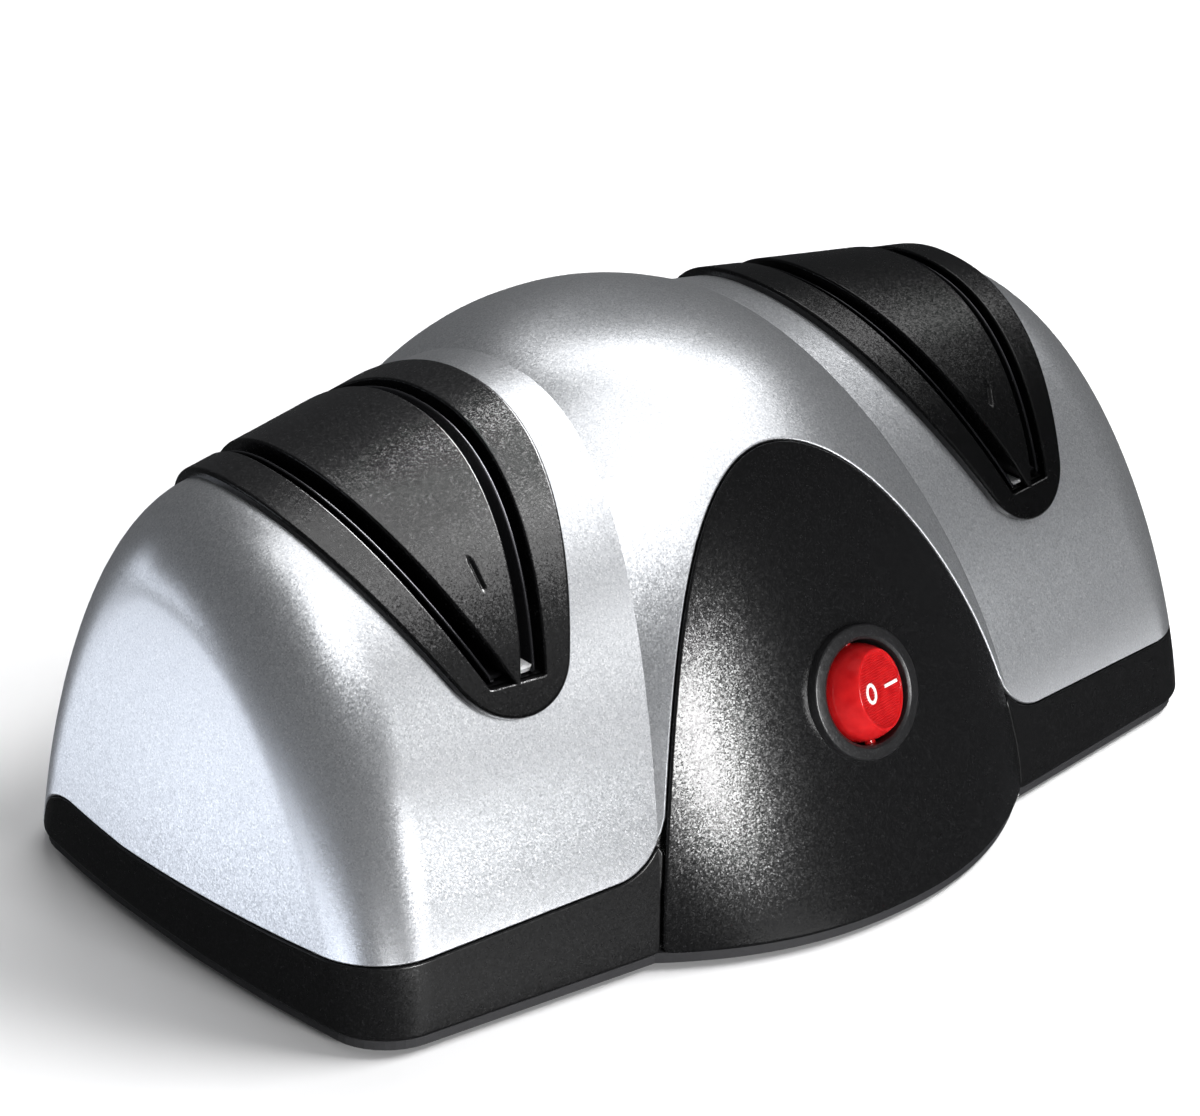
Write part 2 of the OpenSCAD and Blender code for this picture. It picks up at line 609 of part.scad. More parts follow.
module switch_bezel() color([0.1, 0.1, 0.11]) place() on_switch() {
  difference() {
    union() {
      rotate_extrude($fn = 96) polygon([[8.9, 0.02], [bezel_r - 0.1, 0.02], [bezel_r, 0.15], [bezel_r, 0.9],
        [bezel_r - 0.25, 1.3], [bezel_r - 0.8, 1.6], [9.5, 1.6], [9.1, 1.3], [8.9, 0.9]]);
      translate([0, 0, -13.5]) cylinder(r = 10.1, h = 13.6, $fn = 96);
    }
    translate([0, 0, -12]) cylinder(r = 9.25, h = 11.5, $fn = 96);
    translate([0, 0, -2]) cylinder(r = 8.9, h = 4, $fn = 96);
    translate([0, 12, rock_z]) rotate([90, 0, 0]) cylinder(r = 1.05, h = 24);
    for (s = [1, -1]) translate([s * 4 - 0.5, -3.25, -14]) cube([1, 6.5, 3]);
  }
}

// ball cut flat on top, leaning towards its pressed side
module switch_rocker() color([0.75, 0.05, 0.06]) place() on_switch() translate([0, 0, rock_z]) {
  rotate([0, rock_deg / 2, 0]) difference() {
    sphere(r = rock_r, $fn = 96);
    translate([-12, -12, rock_h]) cube([24, 24, 12]);
    translate([-12, -12, -15.4]) cube([24, 24, 12]);
    translate([0, 0, rock_h - 0.2]) cylinder(r = 6.8, h = 2);
  }
  for (s = [0, 180]) rotate([0, 0, s]) translate([0, 9.8, 0]) rotate([90, 0, 0]) cylinder(r = 1, h = 3);
}

module switch_terminals() color([0.8, 0.7, 0.4]) place() on_switch()
  for (s = [1, -1]) translate([s * 4 - 0.4, -3.15, -22]) cube([0.8, 6.3, 11.5]);

// -------------------------------------------------------------- electronics

module power_board() color([0.1, 0.35, 0.2]) place() difference() {
  translate([-30.4, 35.8, 5.2]) cube([60.8, 1.6, 24]);
  for (x = [-24, 24], z = [9, 25]) translate([x, 40, z]) rotate([90, 0, 0]) cylinder(r = 1.2, h = 8);
}
module board_capacitor() color([0.15, 0.2, 0.4]) place()
  translate([-8, 30.4, 9]) cylinder(r = 5.2, h = 16);
module board_rectifier() color([0.12, 0.12, 0.13]) place()
  translate([2, 31.7, 11]) cube([16, 4, 12]);

module cord_gland() color([0.07, 0.07, 0.08]) place() on_gland() difference() {
  union() {
    translate([0, 0, -12]) cylinder(r = 5.5, h = 13);
    translate([0, 0, -0.28]) cylinder(r = 7, h = 1.6);
    translate([0, 0, -5.6]) cylinder(r = 6.6, h = 1.6);
  }
  translate([0, 0, -13]) cylinder(r = 3.3, h = 16);
}

// ---------------------------------------------------------------- underside

module shutter() {
  difference() {
    translate([stage_x - 13, -10, -1.15]) cube([26, 20, 1]);
    translate([stage_x - 11.5, -8.5, -0.6]) cube([17, 17, 1]);
  }
  translate([stage_x + 6, -6, -1.9]) cube([2, 12, 1]);
}
module dust_shutter_right() color([0.12, 0.12, 0.13]) place() shutter();
module dust_shutter_left() color([0.12, 0.12, 0.13]) place() mirror([1, 0, 0]) shutter();

module rubber_feet() color([0.05, 0.05, 0.05]) place() for (p = foot_pos) translate([p[0], p[1], 0]) {
  translate([0, 0, -3]) cylinder(r = foot_r, h = 1.75);
  translate([0, 0, -1.5]) cylinder(r = 2.1, h = 1.5 + wall + 0.3);
  translate([0, 0, wall + 0.1]) cylinder(r = 2.9, h = 1.2);
}

upper_shell();
base_tray();
bottom_plate();
front_panel();
slot_insert_left();
slot_insert_right();
guide_left_outer();
guide_left_inner();
guide_right_inner();
guide_right_outer();
switch_bezel();
switch_rocker();
switch_terminals();
motor_can();
motor_bell_left();
motor_bell_right();
motor_magnets();
rotor_core();
rotor_windings();
commutator();
brush_holders();
brushes();
bearing_left();
bearing_right();
motor_shaft();
wheel_left();
wheel_right();
hub_left();
hub_right();
wheel_washers();
wheel_nuts();
motor_clamps();
clamp_screws();
power_board();
board_capacitor();
board_rectifier();
cord_gland();
dust_shutter_left();
dust_shutter_right();
rubber_feet();
housing_screws();
panel_screws();
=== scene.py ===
import bpy
import json
import math
import numpy as np
from mathutils import Vector, Matrix, kdtree


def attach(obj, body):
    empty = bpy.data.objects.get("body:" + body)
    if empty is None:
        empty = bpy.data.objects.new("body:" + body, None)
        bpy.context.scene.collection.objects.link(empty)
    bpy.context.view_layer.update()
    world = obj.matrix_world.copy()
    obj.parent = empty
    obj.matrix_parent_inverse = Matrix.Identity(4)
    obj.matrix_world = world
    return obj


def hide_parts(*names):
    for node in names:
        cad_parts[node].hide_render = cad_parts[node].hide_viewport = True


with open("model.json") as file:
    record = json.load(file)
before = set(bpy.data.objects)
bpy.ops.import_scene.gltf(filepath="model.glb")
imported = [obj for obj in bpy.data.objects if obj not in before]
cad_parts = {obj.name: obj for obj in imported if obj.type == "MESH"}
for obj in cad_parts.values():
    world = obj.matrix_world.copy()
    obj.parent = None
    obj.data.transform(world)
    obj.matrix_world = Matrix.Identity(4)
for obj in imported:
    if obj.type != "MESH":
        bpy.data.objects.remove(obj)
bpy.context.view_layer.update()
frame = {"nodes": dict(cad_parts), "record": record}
NODES = frame["nodes"]

# ---------------------------------------------------------------- the frame
# Shapes are computed in millimetres over the lower edge of the housing and
# then set into the model's frame, in metres.
SHIFT = np.array([0.0, 7.85, 3.0])


def metres(p):
    return (np.asarray(p, float) + SHIFT) * 0.001


# ------------------------------------------------------- camera and lighting
def look_at(obj, target):
    d = Vector(target) - obj.location
    obj.rotation_euler = d.to_track_quat("-Z", "Y").to_euler()


AZ, EL, DIST, ROLL = math.radians(-41.147), math.radians(26.511), 0.65192, math.radians(1.241)
TARGET = Vector(metres([-1.948, 0.0, 35.472]))
cam_data = bpy.data.cameras.new("camera")
cam = bpy.data.objects.new("camera", cam_data)
bpy.context.scene.collection.objects.link(cam)
back = Vector((math.sin(AZ) * math.cos(EL), -math.cos(AZ) * math.cos(EL), math.sin(EL)))
right = Vector((math.cos(AZ), math.sin(AZ), 0.0))
up = back.cross(right)
right, up = right * math.cos(ROLL) + up * math.sin(ROLL), up * math.cos(ROLL) - right * math.sin(ROLL)
cam.matrix_world = Matrix.Translation(TARGET + back * DIST) @ Matrix((right, up, back)).transposed().to_4x4()
cam_data.sensor_fit = "HORIZONTAL"
cam_data.sensor_width = 36.0
cam_data.lens = 36.0 * 3628.6 / 1200.0
cam_data.clip_start = 0.01
cam_data.clip_end = 50.0
bpy.context.scene.camera = cam


def area(name, where, at, size, power, colour=(1, 1, 1), size_y=None, spread=180):
    d = bpy.data.lights.new(name, "AREA")
    d.shape = "RECTANGLE"
    d.size = size
    d.size_y = size_y or size
    d.energy = power
    d.color = colour
    d.spread = math.radians(spread)
    o = bpy.data.objects.new(name, d)
    o.location = where
    look_at(o, at)
    bpy.context.scene.collection.objects.link(o)
    return o


# ------------------------------------------------------------- node materials
def mat_new(name):
    m = bpy.data.materials.new(name)
    m.use_nodes = True
    nt = m.node_tree
    nt.nodes.clear()
    out = nt.nodes.new("ShaderNodeOutputMaterial")
    bs = nt.nodes.new("ShaderNodeBsdfPrincipled")
    nt.links.new(bs.outputs[0], out.inputs[0])
    return m, nt, bs


def coords(nt):
    t = nt.nodes.new("ShaderNodeTexCoord")
    return t.outputs["Object"]


def noise(nt, vec, scale, detail=2.0, rough=0.5, dist=0.0):
    n = nt.nodes.new("ShaderNodeTexNoise")
    n.inputs["Scale"].default_value = scale
    n.inputs["Detail"].default_value = detail
    n.inputs["Roughness"].default_value = rough
    n.inputs["Distortion"].default_value = dist
    nt.links.new(vec, n.inputs["Vector"])
    return n.outputs["Fac"]


def voronoi(nt, vec, scale, feature="F1", out="Distance", smooth=None):
    n = nt.nodes.new("ShaderNodeTexVoronoi")
    n.feature = feature
    n.inputs["Scale"].default_value = scale
    if smooth is not None and feature == "SMOOTH_F1":
        n.inputs["Smoothness"].default_value = smooth
    nt.links.new(vec, n.inputs["Vector"])
    return n.outputs[out]


def ramp(nt, fac, stops):
    n = nt.nodes.new("ShaderNodeValToRGB")
    el = n.color_ramp.elements
    while len(el) > 1:
        el.remove(el[-1])
    el[0].position = stops[0][0]
    el[0].color = (*stops[0][1], 1) if len(stops[0][1]) == 3 else stops[0][1]
    for p, c in stops[1:]:
        k = el.new(p)
        k.color = (*c, 1)
    nt.links.new(fac, n.inputs["Fac"])
    return n.outputs["Color"]


def maprange(nt, v, a, b, c, d):
    n = nt.nodes.new("ShaderNodeMapRange")
    n.inputs["From Min"].default_value = a
    n.inputs["From Max"].default_value = b
    n.inputs["To Min"].default_value = c
    n.inputs["To Max"].default_value = d
    nt.links.new(v, n.inputs["Value"])
    return n.outputs["Result"]


def math_node(nt, op, a, b):
    n = nt.nodes.new("ShaderNodeMath")
    n.operation = op
    for i, v in enumerate((a, b)):
        if isinstance(v, (int, float)):
            n.inputs[i].default_value = v
        else:
            nt.links.new(v, n.inputs[i])
    return n.outputs[0]


def bump(nt, height, strength, distance, normal=None):
    n = nt.nodes.new("ShaderNodeBump")
    n.inputs["Strength"].default_value = strength
    n.inputs["Distance"].default_value = distance
    nt.links.new(height, n.inputs["Height"])
    if normal is not None:
        nt.links.new(normal, n.inputs["Normal"])
    return n.outputs["Normal"]


def facets(nt, vec, scale, amount):
    """Small facets, each tilted its own way, as plastic with an electro-eroded texture or metal flakes have; also a
    colour per facet.
    """
    n = nt.nodes.new("ShaderNodeTexVoronoi")
    n.inputs["Scale"].default_value = scale
    nt.links.new(vec, n.inputs["Vector"])
    geo = nt.nodes.new("ShaderNodeNewGeometry")

    def vm(op, a, b=None, k=None):
        q = nt.nodes.new("ShaderNodeVectorMath")
        q.operation = op
        for i, v in enumerate((a, b)):
            if isinstance(v, tuple):
                q.inputs[i].default_value = v
            elif v is not None:
                nt.links.new(v, q.inputs[i])
        if k is not None:
            q.inputs["Scale"].default_value = k
        return q.outputs[0]

    tilt = vm("SCALE", vm("SUBTRACT", n.outputs["Color"], (0.5, 0.5, 0.5)), None, amount)
    normal = vm("NORMALIZE", vm("ADD", tilt, geo.outputs["Normal"]))
    sep = nt.nodes.new("ShaderNodeSeparateColor")
    nt.links.new(n.outputs["Color"], sep.inputs[0])
    return normal, sep.outputs[2]


def mat_silver():
    m, nt, bs = mat_new("silver_paint")
    v = coords(nt)
    bs.inputs["Metallic"].default_value = 0.88
    bs.inputs["Coat Weight"].default_value = 0.08
    bs.inputs["Coat Roughness"].default_value = 0.3
    normal, f = facets(nt, v, 4200, 0.07)
    col = ramp(nt, f, [(0.0, (0.50, 0.515, 0.54)), (0.3, (0.60, 0.615, 0.64)),
                       (0.8, (0.68, 0.695, 0.72)), (1.0, (0.80, 0.81, 0.83))])
    nt.links.new(col, bs.inputs["Base Color"])
    nt.links.new(maprange(nt, noise(nt, v, 900, 3), 0.3, 0.7, 0.30, 0.34), bs.inputs["Roughness"])
    nt.links.new(bump(nt, noise(nt, v, 1500, 2), 0.12, 0.00005, normal), bs.inputs["Normal"])
    return m


def mat_black(name="black_plastic", base=0.006, rough=0.235, scale=4600, tilt=0.12, painted_glint_grey=0.016):
    m, nt, bs = mat_new(name)
    v = coords(nt)
    bs.inputs["IOR"].default_value = 1.5
    normal, f = facets(nt, v, scale, tilt)
    n2 = noise(nt, v, scale * 0.3, 2)
    n3 = noise(nt, v, 60, 2)
    # colour per facet: random darker and lighter tone of the grain, with the brightest few cells a painted glint that
    # stands in for sparkle
    col = ramp(nt, f, [(0.0, (base * 0.7, base * 0.7, base * 0.74)), (0.82, (base, base, base * 1.05)),
                       (0.93, (base * 1.6, base * 1.6, base * 1.7)), (1.0, (painted_glint_grey, painted_glint_grey, painted_glint_grey * 1.04))])
    nt.links.new(col, bs.inputs["Base Color"])
    r = math_node(nt, "ADD", maprange(nt, n2, 0.3, 0.7, rough - 0.03, rough + 0.04),
                  maprange(nt, n3, 0.3, 0.7, -0.01, 0.01))
    nt.links.new(r, bs.inputs["Roughness"])
    nt.links.new(bump(nt, n2, 0.15, 0.00006, normal), bs.inputs["Normal"])
    return m


def mat_satin(name, colour, rough=0.3, metallic=0.0, grain=700, strength=0.15, aniso=None, spread=0.12, dist=0.00004):
    m, nt, bs = mat_new(name)
    v = coords(nt)
    if aniso:
        mp = nt.nodes.new("ShaderNodeMapping")
        mp.inputs["Scale"].default_value = aniso
        nt.links.new(v, mp.inputs["Vector"])
        v2 = mp.outputs[0]
    else:
        v2 = v
    bs.inputs["Metallic"].default_value = metallic
    n1 = noise(nt, v2, grain, 3, 0.6)
    n2 = noise(nt, v, 45, 2)
    lo = tuple(c * (1 - spread) for c in colour)
    hi = tuple(min(1.0, c * (1 + spread)) for c in colour)
    mix = math_node(nt, "ADD", math_node(nt, "MULTIPLY", n1, 0.6), math_node(nt, "MULTIPLY", n2, 0.4))
    nt.links.new(ramp(nt, mix, [(0.3, lo), (0.7, hi)]), bs.inputs["Base Color"])
    nt.links.new(maprange(nt, mix, 0.3, 0.7, rough * 0.85, rough * 1.15), bs.inputs["Roughness"])
    nt.links.new(bump(nt, n1, strength, dist), bs.inputs["Normal"])
    return m


def mat_red():
    m, nt, bs = mat_new("switch_red")
    v = coords(nt)
    n1 = noise(nt, v, 500, 2)
    nt.links.new(ramp(nt, n1, [(0.3, (0.40, 0.006, 0.008)), (0.7, (0.52, 0.012, 0.013))]), bs.inputs["Base Color"])
    bs.inputs["Subsurface Weight"].default_value = 0.35
    bs.inputs["Subsurface Radius"].default_value = (0.004, 0.0004, 0.0004)
    bs.inputs["Subsurface Scale"].default_value = 1.0
    bs.inputs["IOR"].default_value = 1.5
    nt.links.new(maprange(nt, n1, 0.3, 0.7, 0.16, 0.22), bs.inputs["Roughness"])
    nt.links.new(bump(nt, noise(nt, v, 260, 2), 0.06, 0.00004), bs.inputs["Normal"])
    return m


def mat_floor():
    m, nt, bs = mat_new("floor_pale")
    v = coords(nt)
    n1 = noise(nt, v, 30, 3)
    nt.links.new(ramp(nt, n1, [(0.3, (0.90, 0.90, 0.905)), (0.7, (0.915, 0.915, 0.92))]), bs.inputs["Base Color"])
    bs.inputs["Roughness"].default_value = 0.6
    bs.inputs["Specular IOR Level"].default_value = 0.0
    nt.links.new(bump(nt, n1, 0.02, 0.0002), bs.inputs["Normal"])
    return m


MAT = {
    "silver_paint": mat_silver(),
    "black_plastic": mat_black(),
    # the last number in the next two calls is the grey of the painted glint cells
    "base_black": mat_black("base_black", 0.006, 0.3, 4800, 0.08, 0.015),
    "switch_black": mat_black("switch_black", 0.014, 0.34, 4800, 0.1, 0.035),
    "switch_red": mat_red(),
    "switch_white": mat_satin("switch_white", (0.86, 0.85, 0.84), 0.35),
    "grey_plastic": mat_satin("grey_plastic", (0.03, 0.03, 0.032), 0.42, grain=1500, strength=0.3),
    "spring_steel": mat_satin("spring_steel", (0.60, 0.61, 0.62), 0.27, 1.0, 900, 0.2, (1, 0.06, 1)),
    # pale material for the feet of the inner guides: a painted glint
    "foot_painted_glint": mat_satin("foot_painted_glint", (0.88, 0.88, 0.89), 0.3, 0.35, 900, 0.12),
    "guide_dark": mat_satin("guide_dark", (0.05, 0.05, 0.055), 0.24, 0.85, 900, 0.12),
    "abrasive": mat_satin("abrasive", (0.33, 0.32, 0.31), 0.85, 0.0, 2600, 1.0, spread=0.45, dist=0.00025),
    "aluminium": mat_satin("aluminium", (0.80, 0.81, 0.82), 0.3, 1.0, 900, 0.2),
    "board_green": mat_satin("board_green", (0.02, 0.16, 0.06), 0.35, 0.0, 300, 0.2),
    "brass": mat_satin("brass", (0.78, 0.60, 0.28), 0.3, 1.0, 800, 0.2),
    "bronze": mat_satin("bronze", (0.55, 0.36, 0.18), 0.45, 1.0, 2200, 0.5),
    "capacitor_blue": mat_satin("capacitor_blue", (0.03, 0.06, 0.24), 0.3, 0.0, 400, 0.1),
    "carbon": mat_satin("carbon", (0.03, 0.03, 0.032), 0.6, 0.0, 2500, 0.5),
    "copper": mat_satin("copper", (0.72, 0.33, 0.16), 0.32, 1.0, 1800, 0.7, (1, 0.1, 0.1)),
    "ferrite": mat_satin("ferrite", (0.055, 0.055, 0.06), 0.6, 0.1, 1500, 0.4),
    "lamination": mat_satin("lamination", (0.42, 0.42, 0.43), 0.4, 1.0, 900, 0.8, (2.5, 0.02, 0.02)),
    "rubber_black": mat_satin("rubber_black", (0.018, 0.018, 0.018), 0.75, 0.0, 1800, 0.4, spread=0.3),
    "shaft_steel": mat_satin("shaft_steel", (0.66, 0.66, 0.67), 0.18, 1.0, 1200, 0.15, (1, 0.2, 0.2)),
    "zinc_steel": mat_satin("zinc_steel", (0.62, 0.62, 0.60), 0.3, 1.0, 700, 0.25),
}

# ------------------------------------------------------------ housing surface
L, W0, H0 = 102.8, 57.3, 70.2
FL, RI = 0.1192, 0.126
PW, QW, PD, QD, ED = 2.177, 1.538, 2.5, 1.155, 2.2
DD, DH, BKD, QE = 78.5, 84.5, 0.8, 1.9
CREASE = (43.3, -0.0633, -0.0021)
STAGE, HS, SW, SZ, TILT = 59.4, 0.57, 4.45, 49.3, 0.409
PANEL_W, PANEL_H = 43.0, 71.8
SWITCH_Z, SWITCH_T = 35.3, math.radians(24.7)
SWITCH_Y = -DD * (1 - (SWITCH_Z / DH) ** QD) ** (1 / PD)
GLAND_Z, GLAND_T = 16.0, math.radians(7.5)
GLAND_Y = BKD * DD * (1 - (GLAND_Z / DH) ** QE) ** (1 / PD)


def spow(s, e):
    return np.sign(s) * np.abs(s) ** e


def half_w(x, o):
    return W0 + FL * (L - np.abs(x)) + o


def back_k(x):
    return 0.66 + 0.22 * (L - np.abs(x)) / 60


def ridge(x, o):
    return H0 + RI * (L - np.abs(x)) + o


def arch(a, x, o):
    s, c = np.sin(a), np.maximum(0.0, np.cos(a))
    y = half_w(x, o) * spow(s, 2 / PW)
    return np.where(y > 0, y * back_k(x), y), ridge(x, o) * c ** (2 / QW)


def arch_n(y, z, x, o):
    w = half_w(x, o) * np.where(y > 0, back_k(x), 1.0)
    h = ridge(x, o)
    ny = np.sign(y) * PW / w * (np.abs(y) / w) ** (PW - 1)
    nz = QW / h * (np.maximum(0, z) / h) ** (QW - 1)
    l = np.sqrt(ny * ny + nz * nz) + 1e-12
    return ny / l, nz / l


def end_x(y, z, o):
    return L + o - 0.0017 * y * y - 0.05 * z - 0.0008 * z * z


def end_pt(a, f, o):
    rr = 9 + 0.6 * o + 6 * np.cos(a)
    sf = rr * (1 - np.sin(f))
    x = L - sf
    for _ in range(6):
        y, z = arch(a, x, o)
        x = end_x(y, z, o) - sf
    y, z = arch(a, x, o)
    ny, nz = arch_n(y, z, x, o)
    g = rr * (1 - np.cos(f))
    wy, wz = y - ny * g, np.maximum(z * 0.02, z - nz * g)
    return np.stack([end_x(wy, wz, o) - sf, wy, wz], -1)


def cap_pt(a, m, o):
    p = end_pt(a, math.pi / 2, o)
    wy, wz = p[..., 1] * m, p[..., 2] * m
    return np.stack([end_x(wy, wz, o), wy, wz], -1)


def crease_x(a, o):
    x = np.full_like(a, CREASE[0])
    for _ in range(8):
        z = arch(a, x, o)[1]
        x = CREASE[0] + CREASE[1] * z + CREASE[2] * z * z
    return x


def wing_pt(a, u, o):
    x0 = end_pt(a, 0.0, o)[..., 0]
    x = x0 + (crease_x(a, o) - x0) * u
    y, z = arch(a, x, o)
    return np.stack([x, y, z], -1)


def dome_pt(a, t, o):
    xc = crease_x(a, o)
    vy, vz = arch(a, xc, o)
    y = (DD + o) * spow(np.sin(a), 2 / PD)
    y = np.where(y > 0, y * BKD, y)
    z = (DH + o) * np.maximum(0, np.cos(a)) ** (2 / np.where(y > 0, QE, QD))
    b = 1 - abs(t) ** ED
    return np.stack([xc * t, vy + (y - vy) * b, vz + (z - vz) * b], -1)


def section_normals(p):
    du = np.gradient(p, axis=0)
    dv = np.gradient(p, axis=1)
    n = np.cross(du, dv)
    l = np.linalg.norm(n, axis=-1, keepdims=True)
    n = n / np.maximum(l, 1e-9)
    return n


def angles(na):
    return np.linspace(-math.pi / 2, math.pi / 2, na + 1)


def housing_sections(o=0.0, na=260, nc=26, nf=16, nw=58, nd=116):
    """Right wing with its end, dome and left wing as three grids of points."""
    a = angles(na)
    rings = [cap_pt(a, m, o) for m in np.linspace(0.02, 1, nc, endpoint=False)]
    rings += [end_pt(a, f, o) for f in np.linspace(math.pi / 2, 0, nf + 1)]
    rings += [wing_pt(a, u, o) for u in np.linspace(0, 1, nw + 1)[1:]]
    right = np.array(rings)
    dome = np.array([dome_pt(a, t, o) for t in np.linspace(1, -1, nd + 1)])
    left = right[::-1].copy()
    left[..., 0] *= -1
    return [right, dome, left]


class Grid:
    """Sections that share their border rings; every face corner has the normal of its own section."""

    def __init__(self, sections):
        self.rows, self.P, self.N = [], [], []
        pts, base = [], 0
        self.cells = []
        for k, s in enumerate(sections):
            n = section_normals(s)
            rows = []
            for j in range(len(s)):
                if k and j == 0:
                    rows.append(last)
                    continue
                ids = np.arange(base, base + s.shape[1])
                base += s.shape[1]
                pts.append(s[j])
                rows.append(ids)
            last = rows[-1]
            rows = np.array(rows)
            q = np.stack([rows[:-1, :-1], rows[1:, :-1], rows[1:, 1:], rows[:-1, 1:]], -1).reshape(-1, 4)
            nn = np.stack([n[:-1, :-1], n[1:, :-1], n[1:, 1:], n[:-1, 1:]], 2).reshape(-1, 4, 3)
            self.cells.append((q, nn))
        self.P = np.concatenate(pts)
        self.Q = np.concatenate([c[0] for c in self.cells])
        self.C = np.concatenate([c[1] for c in self.cells])
        # outward side
        mid = self.P[self.Q].mean(1)
        inner = np.array([0, -2.0, 20.0]) * np.ones_like(mid)
        inner[:, 0] = mid[:, 0] * 0.55
        flip = ((mid - inner) * self.C.mean(1)).sum(-1).mean() < 0
        if flip:
            self.C = -self.C
            self.Q = self.Q[:, ::-1].copy()
            self.C = self.C[:, ::-1].copy()
        # one normal per point, for measuring
        self.V = np.zeros_like(self.P)
        np.add.at(self.V, self.Q.reshape(-1), self.C.reshape(-1, 3))
        self.V /= np.maximum(np.linalg.norm(self.V, axis=1, keepdims=True), 1e-9)


def along_surface(f, P, N):
    """Distance to the curve f = 0 measured in the surface."""
    h = 0.02
    v = f(P)
    g = np.stack([(f(P + np.eye(3)[k] * h) - f(P - np.eye(3)[k] * h)) / (2 * h) for k in range(3)], -1)
    g = g - (g * N).sum(-1, keepdims=True) * N
    return v / np.maximum(np.linalg.norm(g, axis=-1), 0.25)


def cut_grid(grid, rules):
    """Keeps the part of the grid where every rule f(P) + gap + r <= 0; rules are (f, gap, r).
    Returns points, faces, corner normals, and per point its lip radius and the index of the rule that set it."""
    P, N = grid.P, grid.V
    vals = np.stack([along_surface(f, P, N) + gap + r for f, gap, r in rules], -1)
    rad = np.array([r for _, _, r in rules])
    phi = vals.max(-1)
    act = vals.argmax(-1)
    inside = phi <= 0
    cin = inside[grid.Q]
    full = cin.all(1)
    part = cin.any(1) & ~full
    faces, corner = [], []
    pts = list(P)
    pact = list(act)
    for q, c in zip(grid.Q[full], grid.C[full]):
        faces.append(list(q))
        corner.append(c)
    cache = {}

    def crossing(i, j):
        k = (i, j) if i < j else (j, i)
        if k not in cache:
            a, b = k
            t = phi[a] / (phi[a] - phi[b])
            pts.append(P[a] + (P[b] - P[a]) * t)
            pact.append(act[a] if phi[a] > phi[b] else act[b])
            cache[k] = (len(pts) - 1, t if k == (i, j) else 1 - t, t)
        idx, _, t = cache[k]
        return idx, (t if k == (i, j) else 1 - t)

    for q, c in zip(grid.Q[part], grid.C[part]):
        out, nn = [], []
        for s in range(4):
            i, j = int(q[s]), int(q[(s + 1) % 4])
            if phi[i] <= 0:
                out.append(i)
                nn.append(c[s])
            if (phi[i] <= 0) != (phi[j] <= 0):
                idx, t = crossing(i, j)
                out.append(idx)
                v = c[s] + (c[(s + 1) % 4] - c[s]) * t
                nn.append(v / max(np.linalg.norm(v), 1e-9))
        if len(out) >= 3:
            faces.append(out)
            corner.append(np.array(nn))
    pts = np.array(pts)
    pact = np.array(pact)
    used = sorted({v for f in faces for v in f})
    remap = {v: k for k, v in enumerate(used)}
    faces = [[remap[v] for v in f] for f in faces]
    return pts[used], faces, corner, rad[pact[used]], pact[used]


def loops_of(faces):
    """Closed border loops, in the direction of their faces."""
    nxt = {}
    seen = set()
    for f in faces:
        for a, b in zip(f, f[1:] + f[:1]):
            seen.add((a, b))
    for a, b in seen:
        if (b, a) not in seen:
            nxt[a] = b
    loops = []
    while nxt:
        s = next(iter(nxt))
        loop = [s]
        v = nxt.pop(s)
        while v != s and v in nxt:
            loop.append(v)
            v = nxt.pop(v)
        loops.append(loop)
    return loops


class Shape:
    """Collects points, faces and corner normals."""

    def __init__(self):
        self.p, self.f, self.n, self.m = [], [], [], []
        self.count = 0

    def add(self, pts, faces, corner, mat=0):
        b = self.count
        pts = np.asarray(pts, float)
        self.p.append(pts)
        self.count += len(pts)
        for f, c in zip(faces, corner):
            self.f.append([b + v for v in f])
            self.n.append(np.asarray(c, float))
            self.m.append(mat)
        return b

    def strip(self, rings, normals, closed=True, mat=0, flip=False):
        """Quads between rings of points, with a normal for each point of each ring."""
        rings = [np.asarray(r, float) for r in rings]
        n = len(rings[0])
        pts = np.concatenate(rings)
        faces, corner = [], []
        for k in range(len(rings) - 1):
            for i in range(n if closed else n - 1):
                j = (i + 1) % n
                f = [k * n + i, k * n + j, (k + 1) * n + j, (k + 1) * n + i]
                c = [normals[k][i], normals[k][j], normals[k + 1][j], normals[k + 1][i]]
                if flip:
                    f, c = f[::-1], c[::-1]
                faces.append(f)
                corner.append(np.array(c))
        return self.add(pts, faces, corner, mat)

    def points(self):
        return np.concatenate(self.p)

    def build(self, name, mats, transform=metres, merge=True):
        pts = transform(self.points())
        me = bpy.data.meshes.new(name)
        key, faces, corner, mat = None, self.f, self.n, self.m
        if merge:
            q = np.round(pts / 2e-7).astype(np.int64)
            _, first, inv = np.unique(q, axis=0, return_index=True, return_inverse=True)
            inv = inv.reshape(-1)
            pts = pts[first]
            nf, nc, nm = [], [], []
            for f, c, m in zip(faces, corner, mat):
                g, h = [], []
                for v, k in zip(f, c):
                    w = int(inv[v])
                    if g and (w == g[-1] or w == g[0]):
                        continue
                    g.append(w)
                    h.append(k)
                if len(g) >= 3 and len(set(g)) == len(g):
                    nf.append(g)
                    nc.append(h)
                    nm.append(m)
            faces, corner, mat = nf, nc, nm
        me.from_pydata([tuple(v) for v in pts], [], faces)
        me.polygons.foreach_set("material_index", mat)
        me.polygons.foreach_set("use_smooth", [True] * len(faces))
        flat = np.array([v for c in corner for v in c], float)
        flat /= np.maximum(np.linalg.norm(flat, axis=1, keepdims=True), 1e-9)
        me.normals_split_custom_set([tuple(v) for v in flat])
        me.update()
        ob = bpy.data.objects.new(name, me)
        bpy.context.scene.collection.objects.link(ob)
        for m in mats:
            me.materials.append(m)
        return ob


def smooth_loop(v, times=1):
    for _ in range(times):
        v = (np.roll(v, 1, 0) + 2 * v + np.roll(v, -1, 0)) / 4
    return v


def unit(v):
    return v / np.maximum(np.linalg.norm(v, axis=-1, keepdims=True), 1e-9)


def clean_loop(pts, loop, tol):
    keep = [loop[0]]
    for v in loop[1:]:
        if np.linalg.norm(pts[v] - pts[keep[-1]]) > tol:
            keep.append(v)
    return keep


